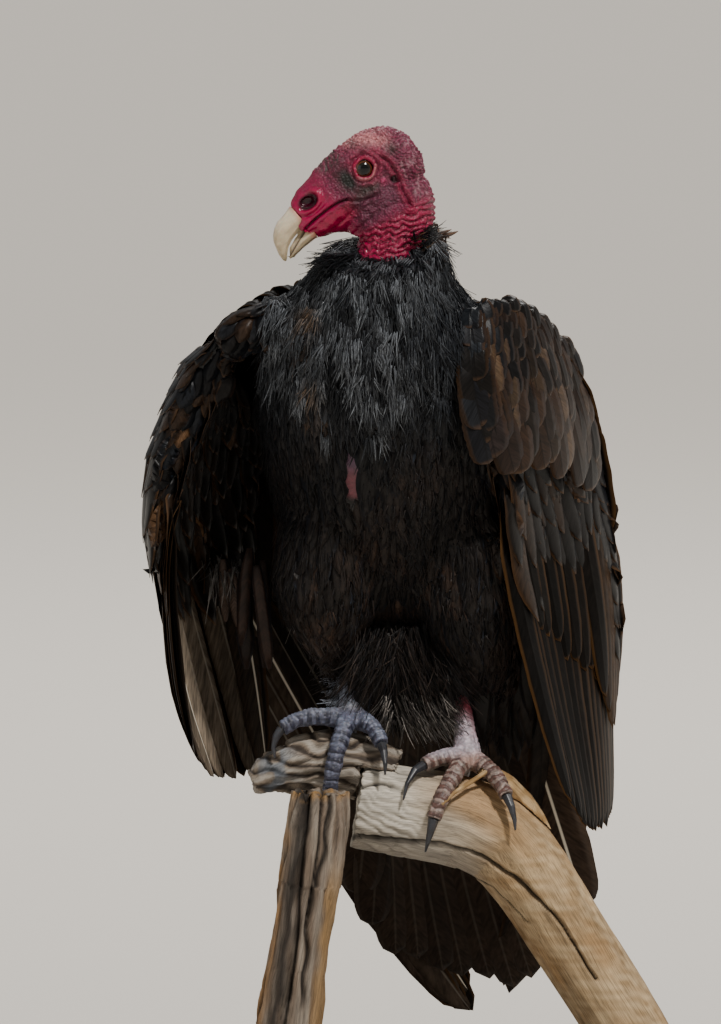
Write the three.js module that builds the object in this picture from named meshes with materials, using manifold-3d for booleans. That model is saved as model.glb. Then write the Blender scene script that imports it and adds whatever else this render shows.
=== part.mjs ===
// A life-size model of a turkey vulture, perched on weathered driftwood that stands on a plain display base.
// Millimetres, +Z up. The bird faces -Y with its head turned to its own right, towards -X, so its left is +X.
// The origin is on the underside of the base, below the feet. Its left wing hangs folded at its side, and its
// right wing is held off the body, so that the underside of the flight feathers faces forward.
import * as THREE from "three";
import Module from "manifold-3d";

const wasm = await Module();
wasm.setup();

// ---------------------------------------------------------------- driving sizes
const GAP = 0.3; // clearance between pieces that meet
const SIMPLEST = 0.14; // detail below this is left out of the faceted solids
const LEFT = 1; // the bird's left is +X
const RIGHT = -1;

const BASE = { width: 320, depth: 270, thick: 20, corner: 14, x: 30, y: 35 };
const ROD_RADIUS = 5;
const POST_ROD = { x: -60, y: -40, top: 96 };
const BRANCH_ROD = { x: 143, y: 0, top: 84 };

// The head: the point between its eyes, and how far it looks down (pitch) and to its right (yaw), in degrees.
const HEAD = { x: -17.5, y: -43, z: 595, pitch: 38, yaw: 8 };
const NECK_CUT = -30; // the head ends this far below its eyes
const EYE = { radius: 8, inset: 10.3, around: 10, rows: 8 };
const NOSTRIL = { u: 38.5, v: 4.6, long: 4.2, high: 2.6, tilt: 0.25, through: 20 };

// Feathered plates: full thickness at the root and how much of it is lost by the tip.
const SECONDARIES = { thick: 7, loss: 4.5, tips: 9, notch: 0.05 };
const PRIMARIES = { thick: 7, loss: 5, tips: 3, notch: 0.06, from: 0.2 };
const SCAPULARS = { thick: 8, loss: 5, tips: 4, notch: 0.07 };
const TAIL = { thick: 9, loss: 6.5, tips: 7, notch: 0.04 };

// The wing arm: share of the wing that it covers, its thickness where it thins out, how much more it has at
// the wrist, how soon that is rounded off, and how much of it is left at its front and back edges.
const ARM = { reach: 0.5, thin: 5, more: 28, rounding: 0.1, lead: 0.01, edges: 0.75 };
const SEAM = 0.002; // space between the arm and the secondaries, as a share of the wing

const TOE = { root: 6.8, end: 5, claw: 3.5, tip: 0.7 }; // radii along a toe and its claw

const vec = (x, y, z) => new THREE.Vector3(x, y, z);
const TAU = 2 * Math.PI;

// ---------------------------------------------------------------- solids from points
// Makes a solid of points and triangles, turned so that its faces point out.
function solidOf(points, faces) {
  const volume = (sum, i) => {
    const [a, b, c] = [points[faces[i]], points[faces[i + 1]], points[faces[i + 2]]];
    return sum + a.dot(b.clone().cross(c));
  };
  let sixVolumes = 0;
  for (let i = 0; i < faces.length; i += 3) sixVolumes = volume(sixVolumes, i);
  const triVerts = new Uint32Array(faces);
  if (sixVolumes < 0) triVerts.reverse();
  const vertProperties = new Float32Array(points.flatMap((p) => p.toArray()));
  return new wasm.Manifold(new wasm.Mesh({ numProp: 3, vertProperties, triVerts }));
}

// Joins closed rings of points, all with the same count, into a solid with a fan on each end.
function solidOfRings(rings) {
  const around = rings[0].length;
  const points = rings.flat();
  const faces = [];
  for (let r = 0; r + 1 < rings.length; r++)
    for (let k = 0; k < around; k++) {
      const a = r * around + k;
      const b = r * around + ((k + 1) % around);
      faces.push(a, b, b + around, a, b + around, a + around);
    }
  const middle = (ring) => ring.reduce((s, p) => s.add(p), vec(0, 0, 0)).divideScalar(around);
  points.push(middle(rings[0]), middle(rings.at(-1)));
  const end = (rings.length - 1) * around;
  for (let k = 0; k < around; k++) {
    const next = (k + 1) % around;
    faces.push(next, k, points.length - 2, end + k, end + next, points.length - 1);
  }
  return solidOf(points, faces);
}

// Reads a table of stations as one smooth curve through every column, at t from 0 to 1 and a little beyond.
function smooth(rows) {
  const last = rows.length - 1;
  const row = (k) => rows[Math.min(Math.max(k, 0), last)];
  return (t) => {
    const i = Math.min(Math.max(Math.floor(t * last), 0), last - 1);
    const f = t * last - i;
    return rows[0].map((_, c) => {
      const [p, q, r, w] = [row(i - 1)[c], row(i)[c], row(i + 1)[c], row(i + 2)[c]];
      const bend = 2 * p - 5 * q + 4 * r - w;
      const twist = 3 * (q - r) + w - p;
      return q + 0.5 * f * (r - p + f * (bend + f * twist));
    });
  };
}

// A tube through stations [x, y, z, half width, half depth, back half depth], in which the width lies along
// side. grow thickens it all round, for cutting a neighbour with clearance. swell(angle, t) shapes its bark.
function tube({ rows, side = vec(1, 0, 0), around = 12, steps = 10, swell = () => 1 }) {
  const at = smooth(rows);
  const step = 0.25 / steps;
  return (grow = 0) => {
    const rings = [];
    for (let i = 0; i <= steps; i++) {
      const t = i / steps;
      const [x, y, z, wide, deep, back = deep] = at(t);
      const along = vec(...at(t + step)).sub(vec(...at(t - step))).normalize();
      const across = side.clone().addScaledVector(along, -side.dot(along)).normalize();
      const front = across.clone().cross(along);
      const centre = vec(x, y, z).addScaledVector(along, i === 0 ? -grow : i === steps ? grow : 0);
      const ring = [];
      for (let k = 0; k < around; k++) {
        const angle = (TAU * k) / around;
        const s = Math.sin(angle);
        const size = swell(angle, t);
        ring.push(
          centre
            .clone()
            .addScaledVector(across, (wide * size + grow) * Math.cos(angle))
            .addScaledVector(front, ((s > 0 ? deep : back) * size + grow) * s),
        );
      }
      rings.push(ring);
    }
    return solidOfRings(rings);
  };
}

// A curved plate: place(t, v) gives its middle surface, t runs across it and v along it to reach(t), and
// thickness(t, v) is its full thickness there. grow thickens it and moves its edges out.
function plate({ place, thickness, reach = () => 1, from = 0, across = 16, along = 6 }) {
  const normalAt = (t, v) => {
    const h = 0.01;
    const dt = place(t + h, v).sub(place(t - h, v));
    const dv = place(t, v + h).sub(place(t, v - h));
    return dt.cross(dv).normalize();
  };
  return (grow = 0) => {
    const width = place(0, 0.5).distanceTo(place(1, 0.5));
    const length = place(0.5, 0).distanceTo(place(0.5, 1));
    const [front, back] = [[], []];
    for (let i = 0; i <= across; i++)
      for (let j = 0; j <= along; j++) {
        const edge = i === 0 ? -1 : i === across ? 1 : 0;
        const end = j === 0 ? -1 : j === along ? 1 : 0;
        const t = i / across;
        const v = from + (reach(t) - from) * (j / along);
        const half = thickness(t, v) / 2 + grow;
        const normal = normalAt(t, v);
        const middle = place(t + (edge * grow) / width, v + (end * grow) / length);
        front.push(middle.clone().addScaledVector(normal, half));
        back.push(middle.clone().addScaledVector(normal, -half));
      }
    const points = [...front, ...back];
    const id = (i, j, side) => side * front.length + i * (along + 1) + j;
    const faces = [];
    const quad = (a, b, c, d) => faces.push(a, b, c, a, c, d);
    for (let i = 0; i < across; i++)
      for (let j = 0; j < along; j++) {
        quad(id(i, j, 0), id(i + 1, j, 0), id(i + 1, j + 1, 0), id(i, j + 1, 0));
        quad(id(i, j, 1), id(i, j + 1, 1), id(i + 1, j + 1, 1), id(i + 1, j, 1));
      }
    for (let i = 0; i < across; i++) {
      quad(id(i, 0, 0), id(i, 0, 1), id(i + 1, 0, 1), id(i + 1, 0, 0));
      quad(id(i, along, 0), id(i + 1, along, 0), id(i + 1, along, 1), id(i, along, 1));
    }
    for (let j = 0; j < along; j++) {
      quad(id(0, j, 0), id(0, j + 1, 0), id(0, j + 1, 1), id(0, j, 1));
      quad(id(across, j, 0), id(across, j, 1), id(across, j + 1, 1), id(across, j + 1, 0));
    }
    return solidOf(points, faces);
  };
}

// The surface through lines of points, evenly spaced from the root line, at v = 0, to the tip line, at v = 1.
function curtain(...lines) {
  const across = lines.map(smooth);
  return (t, v) => vec(...smooth(across.map((line) => line(t)))(v));
}

// How far each rounded feather tip of a plate reaches, as a share of the full length.
const scallops = ({ tips, notch }) => (t) => 1 - notch * (1 - Math.abs(Math.sin(Math.PI * t * tips)));
// A plate that thins evenly from its root to its tips.
const tapered = ({ thick, loss }) => (t, v) => thick - loss * v;

// ---------------------------------------------------------------- display stand
const CORNER_STEPS = 4;

function standBase(grow = 0) {
  const shape = new THREE.Shape();
  const [w, d, r] = [BASE.width / 2 + grow, BASE.depth / 2 + grow, BASE.corner];
  shape.absarc(w - r, d - r, r, 0, TAU / 4);
  shape.absarc(r - w, d - r, r, TAU / 4, TAU / 2);
  shape.absarc(r - w, r - d, r, TAU / 2, (3 * TAU) / 4);
  shape.absarc(w - r, r - d, r, (3 * TAU) / 4, TAU);
  const outline = shape.getPoints(CORNER_STEPS).slice(0, -1);
  const level = (z) => outline.map((p) => vec(BASE.x + p.x, BASE.y + p.y, z));
  return solidOfRings([level(0), level(BASE.thick + grow)]);
}

const rod = (x, y, top) =>
  tube({
    rows: [
      [x, y, BASE.thick + GAP, ROD_RADIUS, ROD_RADIUS],
      [x, y, top, ROD_RADIUS, ROD_RADIUS],
    ],
    around: 16,
    steps: 1,
  });

// ---------------------------------------------------------------- driftwood perch
// Weather makes the wood a little out of round: its ribs wind and swell along its length.
const WINDING = 5;
const SWELLING = 9;
const knobbly = (amount, ribs) => (angle, t) =>
  1 + amount * Math.sin(ribs * angle + WINDING * t) * Math.cos(SWELLING * t + angle);

const branch = tube({
  rows: [
    [-20, 0, 208, 26, 27],
    [12, 0, 203, 27, 28],
    [42, 0, 197, 28, 28.5],
    [66, 0, 185, 28, 27.5],
    [85, 0, 163, 26, 26],
    [101, 0, 138, 25, 25],
    [119, 0, 109, 24, 24.5],
    [136, 0, 82, 24, 24.5],
    [151, 0, 57, 24, 24],
  ],
  side: vec(0, 1, 0),
  around: 14,
  steps: 14,
  swell: knobbly(0.025, 2),
});

const stub = tube({
  rows: [
    [2, 6, 222, 20, 20],
    [-22, 6, 231, 22, 21],
    [-48, 5, 231, 20, 20],
    [-68, 4, 226, 17, 15],
    [-84, 3, 221, 11, 8],
  ],
  side: vec(0, 1, 0),
  around: 12,
  steps: 7,
  swell: knobbly(0.09, 4),
});

const post = tube({
  rows: [
    [-62, -40, 70, 21, 21],
    [-56, -41, 115, 20, 20],
    [-48, -42, 165, 20, 19],
    [-43, -42, 200, 20, 18],
    [-42, -42, 222, 17, 14],
  ],
  around: 12,
  steps: 8,
  swell: knobbly(0.07, 5),
});

const splinter = tube({
  rows: [
    [54, -10, 230, 4, 4],
    [68, -5, 224, 5.5, 5],
    [84, 0, 206, 6, 6],
    [94, 2, 190, 4, 4],
  ],
  side: vec(0, 1, 0),
  around: 8,
  steps: 5,
});

// ---------------------------------------------------------------- trunk and thighs
// Stations from the rump to the top of the ruff: centre, half width, depth to the breast, depth to the back.
const feathered = tube({
  rows: [
    [26, 122, 272, 26, 20, 14],
    [22, 106, 300, 46, 40, 26],
    [15, 80, 336, 66, 66, 40],
    [7, 48, 378, 77, 76, 50],
    [2, 16, 420, 80, 76, 56],
    [-3, -12, 460, 80, 70, 56],
    [-4, -32, 496, 72, 62, 50],
    [-2, -41, 524, 50, 48, 40],
    [3, -44, 546, 34, 36, 31],
    [7, -45, 568, 27, 28, 26],
  ],
  around: 18,
  steps: 13,
});
// The ruff's rim slopes down from the nape to the throat.
const RIM = { normal: vec(-0.1, -0.36, 0.93).normalize(), throat: vec(0, -78, 545) };
const trunk = (grow = 0) =>
  feathered(grow).trimByPlane(RIM.normal.clone().negate().toArray(), -RIM.normal.dot(RIM.throat) - grow);

const thigh = (rows) => tube({ rows, around: 12, steps: 7 });
const thighLeft = thigh([
  [46, 8, 378, 32, 38],
  [48, 4, 345, 35, 42],
  [51, 16, 312, 31, 36],
  [60, 32, 284, 26, 22],
  [64, 42, 260, 12, 9],
]);
const thighRight = thigh([
  [-34, 8, 384, 32, 40],
  [-38, 2, 350, 36, 44],
  [-36, 12, 322, 30, 34],
  [-30, 26, 298, 18, 19],
  [-26, 32, 282, 9, 9],
]);

// ---------------------------------------------------------------- head and neck
// The head's own axes: u towards the bill's tip, v towards the crown and w towards its left, from between the eyes.
const pitch = THREE.MathUtils.degToRad(HEAD.pitch);
const yaw = THREE.MathUtils.degToRad(HEAD.yaw);
const headLevel = vec(-Math.cos(yaw), -Math.sin(yaw), 0);
const headUp = vec(0, 0, Math.cos(pitch)).addScaledVector(headLevel, Math.sin(pitch));
const headForward = vec(0, 0, -Math.sin(pitch)).addScaledVector(headLevel, Math.cos(pitch));
const headLeft = headUp.clone().cross(headForward);
const headPoint = (u, v, w = 0) =>
  vec(HEAD.x, HEAD.y, HEAD.z)
    .addScaledVector(headForward, u)
    .addScaledVector(headUp, v)
    .addScaledVector(headLeft, w);

// A form along the head: stations [u, top v, bottom v, half width at the middle, lean of the widest point].
function headForm(rows, around, steps) {
  const at = smooth(rows);
  const outward = Math.sign(rows[0][0] - rows.at(-1)[0]);
  return (grow = 0) => {
    const rings = [];
    for (let i = 0; i <= steps; i++) {
      const [u, top, bottom, half, low = 0] = at(i / steps);
      const end = (i === 0 ? grow : i === steps ? -grow : 0) * outward;
      const ring = [];
      for (let k = 0; k < around; k++) {
        const angle = (TAU * k) / around;
        const [c, s] = [Math.cos(angle), Math.sin(angle)];
        const v = (top + bottom) / 2 + ((top - bottom) / 2 + grow) * s;
        ring.push(headPoint(u + end, v, (half + grow) * c * (1 - low * s)));
      }
      rings.push(ring);
    }
    return solidOfRings(rings);
  };
}

const skull = headForm(
  [
    [52, 5.6, -15.6, 7.4, 0.1],
    [46, 9.2, -17.8, 8.8, 0.12],
    [38, 13, -21, 10.3, 0.14],
    [30, 14.2, -25, 12, 0.1],
    [20, 16.6, -29, 14.2, 0.06],
    [10, 18, -31, 16.2, 0.03],
    [0, 18.4, -32, 17.4, 0],
    [-10, 17.6, -32, 19, -0.02],
    [-20, 14.8, -31, 19.4, -0.02],
    [-28, 9, -27, 16.6, 0],
    [-33, 0, -17, 9.5, 0],
  ],
  16,
  11,
);

// The bare, wrinkled neck, from inside the skull down into the ruff.
const neckTube = tube({
  rows: [
    [...headPoint(0, -10).toArray(), 18, 24],
    [...headPoint(2, -25).toArray(), 20, 29.5],
    [...headPoint(4, -40).toArray(), 21, 27],
    [...headPoint(5, -57).toArray(), 17, 16],
  ],
  side: vec(0, 1, 0),
  around: 12,
  steps: 5,
});
const cutOffset = headPoint(0, NECK_CUT).dot(headUp);

// The nostrils open into one another, so one oval hole runs right through.
function nostrilHole() {
  const ring = (w) =>
    Array.from({ length: 10 }, (_, k) => {
      const angle = (TAU * k) / 10;
      const [p, q] = [NOSTRIL.long * Math.cos(angle), NOSTRIL.high * Math.sin(angle)];
      const [c, s] = [Math.cos(NOSTRIL.tilt), Math.sin(NOSTRIL.tilt)];
      return headPoint(NOSTRIL.u + p * c - q * s, NOSTRIL.v + p * s + q * c, w);
    });
  return solidOfRings([ring(-NOSTRIL.through), ring(NOSTRIL.through)]);
}

function headSolid(grow = 0) {
  const keep = cutOffset + GAP / 2 - grow;
  const stump = neckTube(grow).trimByPlane(headUp.toArray(), keep);
  return skull(grow).trimByPlane(headUp.toArray(), keep).add(stump).subtract(nostrilHole());
}
const neckSolid = (grow = 0) =>
  neckTube(grow).trimByPlane(headUp.clone().negate().toArray(), -(cutOffset - GAP / 2) - grow);

// An eyeball: rings of latitude round the head's own left-right axis.
function eye(side) {
  const ring = (latitude, radius) =>
    Array.from({ length: EYE.around }, (_, k) => {
      const angle = (TAU * k) / EYE.around;
      const r = radius * Math.sin(latitude);
      const w = side * EYE.inset + radius * Math.cos(latitude);
      return headPoint(-r * Math.cos(angle), r * Math.sin(angle), w);
    });
  return (grow = 0) => {
    const rings = [];
    for (let row = 1; row < EYE.rows; row++) rings.push(ring((Math.PI * row) / EYE.rows, EYE.radius + grow));
    return solidOfRings(rings);
  };
}

// The hooked upper bill and the shorter lower bill that closes under it, of pale horn.
const billUpper = headForm(
  [
    [47.5, 8.2, -7.2, 7.6],
    [53.6, 6.4, -7.6, 7.4],
    [58.7, 5.7, -9, 6.6],
    [63, 3.9, -10.8, 5.6],
    [67.3, -0.4, -14.8, 4],
    [69.6, -5.6, -17, 2.4],
    [70.8, -10.5, -15, 0.8],
  ],
  10,
  8,
);
const billLower = headForm(
  [
    [46, -7.8, -17.2, 6.8],
    [53, -8, -16.6, 6],
    [61, -10.2, -17.1, 4.4],
    [67, -15, -17, 2],
  ],
  10,
  4,
);

// ---------------------------------------------------------------- tail
const tail = plate({
  place: curtain(
    [
      [-4, 106, 300],
      [18, 116, 298],
      [46, 118, 296],
      [70, 106, 296],
    ],
    [
      [-20, 138, 216],
      [10, 164, 190],
      [56, 172, 182],
      [98, 148, 208],
    ],
    [
      [-22, 178, 134],
      [-3, 198, 92],
      [26, 210, 77],
      [56, 216, 67],
      [82, 216, 64],
      [104, 206, 80],
      [124, 186, 124],
    ],
  ),
  thickness: tapered(TAIL),
  reach: scallops(TAIL),
  across: 14,
  along: 4,
});

// ---------------------------------------------------------------- wings
// Each wing is one curved shell from the forearm to the feather tips. The arm and the coverts thicken its upper
// part, the secondaries are its lower part, and the folded primaries run behind them and cross over the tail.
const armThickness = (t, v) => {
  const rounded = Math.sqrt(1 - (1 - Math.min(1, (v + ARM.lead) / ARM.rounding)) ** 2);
  const fuller = ARM.edges + (1 - ARM.edges) * Math.sin(Math.PI * t);
  return ARM.thin + ARM.more * (1 - v / ARM.reach) * rounded * fuller;
};
const wingArm = (place) =>
  plate({ place, thickness: armThickness, reach: () => ARM.reach, across: 7, along: 6 });
const wingFlight = (place) =>
  plate({
    place,
    thickness: tapered(SECONDARIES),
    from: ARM.reach + SEAM,
    reach: scallops(SECONDARIES),
    across: 18,
    along: 3,
  });
const wingPrimaries = (place) =>
  plate({
    place,
    thickness: tapered(PRIMARIES),
    from: PRIMARIES.from,
    reach: scallops(PRIMARIES),
    across: 6,
    along: 6,
  });

const leftShell = curtain(
  [
    [60, -53, 490],
    [79, -20, 486],
    [101, 24, 454],
    [113, 70, 420],
  ],
  [
    [66, -46, 428],
    [86, -4, 420],
    [112, 40, 398],
    [127, 82, 366],
  ],
  [
    [73, -30, 350],
    [94, 12, 342],
    [119, 54, 330],
    [136, 94, 318],
  ],
  [
    [90, -12, 270],
    [106, 28, 264],
    [124, 64, 258],
    [138, 102, 262],
  ],
  [
    [112, 6, 192],
    [121, 42, 188],
    [129, 76, 192],
    [135, 108, 206],
  ],
);
const rightShell = curtain(
  [
    [-97, -38, 490],
    [-103, -4, 484],
    [-102, 42, 468],
    [-78, 82, 448],
  ],
  [
    [-128, -26, 420],
    [-137, 8, 414],
    [-124, 52, 404],
    [-88, 92, 388],
  ],
  [
    [-138, -14, 352],
    [-141, 16, 346],
    [-126, 56, 340],
    [-88, 98, 330],
  ],
  [
    [-127, -6, 284],
    [-128, 24, 276],
    [-113, 62, 272],
    [-82, 104, 270],
  ],
  [
    [-112, 2, 230],
    [-104, 28, 216],
    [-92, 64, 208],
    [-72, 108, 214],
  ],
);
const leftHand = curtain(
  [
    [72, -20, 440],
    [82, 18, 412],
    [94, 58, 380],
  ],
  [
    [82, 48, 338],
    [98, 76, 328],
    [113, 100, 316],
  ],
  [
    [92, 116, 240],
    [108, 138, 234],
    [120, 152, 226],
  ],
  [
    [86, 178, 148],
    [98, 190, 148],
    [112, 190, 158],
  ],
  [
    [68, 226, 62],
    [80, 228, 60],
    [92, 214, 104],
  ],
);
const rightHand = curtain(
  [
    [-112, -8, 436],
    [-106, 34, 406],
    [-94, 66, 384],
  ],
  [
    [-112, 66, 334],
    [-92, 88, 328],
    [-70, 102, 322],
  ],
  [
    [-66, 128, 232],
    [-44, 150, 226],
    [-18, 160, 222],
  ],
  [
    [-18, 188, 136],
    [4, 202, 134],
    [22, 206, 148],
  ],
  [
    [46, 229, 46],
    [54, 232, 52],
    [44, 224, 94],
  ],
);

// The scapulars lie like tiles from the back over the top of each wing.
const scapulars = (place) =>
  plate({ place, thickness: tapered(SCAPULARS), reach: scallops(SCAPULARS), across: 8, along: 4 });
const leftScapulars = curtain(
  [
    [22, 10, 518],
    [50, 4, 509],
    [72, -22, 500],
  ],
  [
    [32, 66, 448],
    [76, 66, 448],
    [112, 34, 452],
  ],
  [
    [42, 118, 344],
    [88, 124, 332],
    [130, 88, 356],
  ],
);
const rightScapulars = curtain(
  [
    [-24, 8, 520],
    [-62, 6, 514],
    [-94, -22, 500],
  ],
  [
    [-34, 68, 450],
    [-92, 74, 446],
    [-136, 30, 430],
  ],
  [
    [-46, 124, 330],
    [-100, 124, 316],
    [-146, 60, 336],
  ],
);

// The front of the arm, from the shoulder over to the wrist.
const armFront = (rows) => tube({ rows, side: vec(0, 0, 1), around: 12, steps: 4 });
const shoulderLeft = armFront([
  [34, -22, 480, 17, 20],
  [50, -40, 492, 16, 19],
  [65, -52, 490, 12, 15],
]);
const shoulderRight = armFront([
  [-36, -22, 482, 17, 22],
  [-58, -38, 499, 16, 17],
  [-80, -44, 500, 15, 15],
  [-100, -42, 488, 12, 14],
]);
const armLeft = (grow) => wingArm(leftShell)(grow).add(shoulderLeft(grow));
const armRight = (grow) => wingArm(rightShell)(grow).add(shoulderRight(grow));

// ---------------------------------------------------------------- legs and feet
const tarsusLeft = tube({
  rows: [
    [42, 38, 292, 7, 8],
    [43.5, 26, 272, 6.2, 7],
    [45, 12, 252, 6.4, 7],
    [46.5, 3, 238, 9, 9],
    [47, 0, 231, 9, 8.5],
  ],
  around: 12,
  steps: 7,
});
const tarsusRight = tube({
  rows: [
    [-25, 42, 306, 7, 8],
    [-24.5, 30, 290, 6.2, 7],
    [-24, 16, 274, 6.4, 7],
    [-23.5, 6, 262, 9, 9],
    [-23, 3, 258, 9, 9],
  ],
  around: 12,
  steps: 7,
});

// Each digit is a path of points from the foot to the root of the claw, then the claw's tip.
function digit(path, clawPath, side) {
  const size = (i) => THREE.MathUtils.lerp(TOE.root, TOE.end, i / (path.length - 1));
  const toeRows = path.map((p, i) => [...p, size(i), size(i)]);
  const clawRows = [path.at(-1), ...clawPath].map((p, i) => {
    const r = THREE.MathUtils.lerp(TOE.claw, TOE.tip, i / clawPath.length);
    return [...p, r, r];
  });
  return {
    toe: tube({ rows: toeRows, side, around: 8, steps: 4 }),
    claw: tube({ rows: clawRows, side, around: 6, steps: 3 }),
  };
}
const X = vec(1, 0, 0);
const Y = vec(0, 1, 0);
const digits = {
  left_middle: digit(
    [
      [46, -2, 235],
      [39, -19, 229],
      [31, -30, 216],
      [26, -34, 203],
    ],
    [
      [23.5, -37, 193],
      [21, -34, 183],
    ],
    X,
  ),
  left_inner: digit(
    [
      [42, -1, 236],
      [31, -9, 237],
      [20, -15, 233],
    ],
    [
      [12, -24, 228],
      [8, -30, 214],
    ],
    Y,
  ),
  left_outer: digit(
    [
      [51, -1, 234],
      [62, -13, 228],
      [70, -25, 216],
    ],
    [
      [74, -32, 206],
      [75, -33, 196],
    ],
    Y,
  ),
  left_hind: digit(
    [
      [46, 4, 234],
      [44, 18, 229],
      [43, 27, 219],
    ],
    [
      [42, 33, 210],
      [42, 33, 201],
    ],
    X,
  ),
  right_middle: digit(
    [
      [-25, -1, 260],
      [-28, -13, 254],
      [-32, -21, 242],
      [-35, -23, 228],
      [-36, -22, 218],
    ],
    [
      [-35, -25, 210],
      [-33, -22, 203],
    ],
    X,
  ),
  right_outer: digit(
    [
      [-27, 2, 259],
      [-40, -2, 261],
      [-54, -4, 260],
      [-65, -6, 254],
    ],
    [
      [-70, -8, 246],
      [-69, -12, 237],
    ],
    Y,
  ),
  right_inner: digit(
    [
      [-19, 1, 259],
      [-10, -8, 255],
      [-5, -18, 246],
    ],
    [
      [-3, -26, 239],
      [-3, -29, 229],
    ],
    Y,
  ),
  right_hind: digit(
    [
      [-24, 6, 258],
      [-25, 20, 253],
      [-25, 28, 243],
    ],
    [
      [-25, 33, 234],
      [-25, 33, 225],
    ],
    X,
  ),
};

// ---------------------------------------------------------------- pieces and finishes
const finish = (color, roughness, metalness = 0) =>
  new THREE.MeshStandardMaterial({ color, roughness, metalness });
const PLUMAGE = finish("#1b1715", 0.75);
const FLIGHT = finish("#3a2f29", 0.6);
const BARE_SKIN = finish("#a03349", 0.5);
const HORN = finish("#cfc4ae", 0.35);
const SCALES = finish("#8d7f7c", 0.6);
const CLAW = finish("#2b2a2c", 0.35);
const EYEBALL = finish("#2a221b", 0.08);
const DRIFTWOOD = finish("#b08d63", 0.8);
const STAND_WOOD = finish("#2c2420", 0.45);
const STEEL = finish("#6e6f72", 0.35, 0.9);

// Pieces in the order in which they are cut: each is cut back from every piece above it that it would meet.
const pieces = [
  ["stand_base", standBase, STAND_WOOD],
  ["stand_rod_left", rod(BRANCH_ROD.x, BRANCH_ROD.y, BRANCH_ROD.top), STEEL],
  ["stand_rod_right", rod(POST_ROD.x, POST_ROD.y, POST_ROD.top), STEEL],
  ["perch_branch", branch, DRIFTWOOD],
  ["perch_stub", stub, DRIFTWOOD],
  ["perch_post", post, DRIFTWOOD],
  ["perch_splinter", splinter, DRIFTWOOD],
  ["trunk", trunk, PLUMAGE],
  ["bill_upper", billUpper, HORN],
  ["bill_lower", billLower, HORN],
  ["eye_left", eye(LEFT), EYEBALL],
  ["eye_right", eye(RIGHT), EYEBALL],
  ["head", headSolid, BARE_SKIN],
  ["neck", neckSolid, BARE_SKIN],
  ["thigh_left", thighLeft, PLUMAGE],
  ["thigh_right", thighRight, PLUMAGE],
  ["wing_left_arm", armLeft, PLUMAGE],
  ["wing_right_arm", armRight, PLUMAGE],
  ["scapulars_left", scapulars(leftScapulars), PLUMAGE],
  ["scapulars_right", scapulars(rightScapulars), PLUMAGE],
  ["tail", tail, FLIGHT],
  ["wing_left_secondaries", wingFlight(leftShell), FLIGHT],
  ["wing_right_secondaries", wingFlight(rightShell), FLIGHT],
  ["wing_left_primaries", wingPrimaries(leftHand), FLIGHT],
  ["wing_right_primaries", wingPrimaries(rightHand), FLIGHT],
  ["tarsus_left", tarsusLeft, SCALES],
  ["tarsus_right", tarsusRight, SCALES],
];
for (const [name, { toe, claw }] of Object.entries(digits)) {
  pieces.push([`claw_${name}`, claw, CLAW]);
  pieces.push([`toe_${name}`, toe, SCALES]);
}

// A cut can leave a sliver beside the piece itself, so the largest body is the one kept.
const largest = (solid) => {
  const bodies = solid.decompose();
  return bodies.reduce((best, body) => (body.volume() > best.volume() ? body : best));
};
const boxesMeet = (a, b) =>
  [0, 1, 2].every((i) => a.min[i] <= b.max[i] && b.min[i] <= a.max[i]);

const vulture = new THREE.Group();
const cutters = [];
for (const [name, shape, material] of pieces) {
  let solid = shape(0);
  for (const cutter of cutters)
    if (boxesMeet(solid.boundingBox(), cutter.boundingBox())) solid = solid.subtract(cutter);
  cutters.push(shape(GAP));
  const { vertProperties, triVerts, numProp } = largest(solid).simplify(SIMPLEST).getMesh();
  if (numProp !== 3) throw new Error("a solid's mesh holds more than positions");
  const geometry = new THREE.BufferGeometry()
    .setAttribute("position", new THREE.BufferAttribute(vertProperties, 3))
    .setIndex(new THREE.BufferAttribute(triVerts, 1));
  geometry.computeVertexNormals();
  const mesh = new THREE.Mesh(geometry, material);
  mesh.name = name;
  vulture.add(mesh);
}

export default vulture;
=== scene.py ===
"""A life-size model of a turkey vulture, perched on driftwood above a plain display base."""

import math

import bpy
import numpy as np
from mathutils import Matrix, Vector
from mathutils.bvhtree import BVHTree


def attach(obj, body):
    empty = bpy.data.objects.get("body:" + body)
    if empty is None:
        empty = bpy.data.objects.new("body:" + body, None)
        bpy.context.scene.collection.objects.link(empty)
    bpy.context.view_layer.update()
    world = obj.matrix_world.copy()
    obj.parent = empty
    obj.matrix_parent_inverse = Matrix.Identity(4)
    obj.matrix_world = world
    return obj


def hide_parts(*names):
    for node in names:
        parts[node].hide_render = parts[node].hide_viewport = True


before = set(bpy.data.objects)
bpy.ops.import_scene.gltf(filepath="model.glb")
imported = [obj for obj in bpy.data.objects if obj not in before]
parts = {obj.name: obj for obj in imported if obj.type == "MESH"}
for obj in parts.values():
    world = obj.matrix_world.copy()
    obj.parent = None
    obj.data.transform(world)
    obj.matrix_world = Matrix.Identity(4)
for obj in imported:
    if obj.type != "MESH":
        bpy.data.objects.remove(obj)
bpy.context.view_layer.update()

scene = bpy.context.scene
MM = 0.001

# ---------------------------------------------------------------- display base and rods
# The base is a flat board of dark stained hardwood with its edges rounded over and waxed.
# Two short rods of drawn steel are driven into it and carry the cut ends of the driftwood.


def paint(code):
    """The linear colour of a #rrggbb code."""
    channels = [int(code[i : i + 2], 16) / 255 for i in (1, 3, 5)]
    linear = [c / 12.92 if c <= 0.04045 else ((c + 0.055) / 1.055) ** 2.4 for c in channels]
    return (*linear, 1.0)


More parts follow.
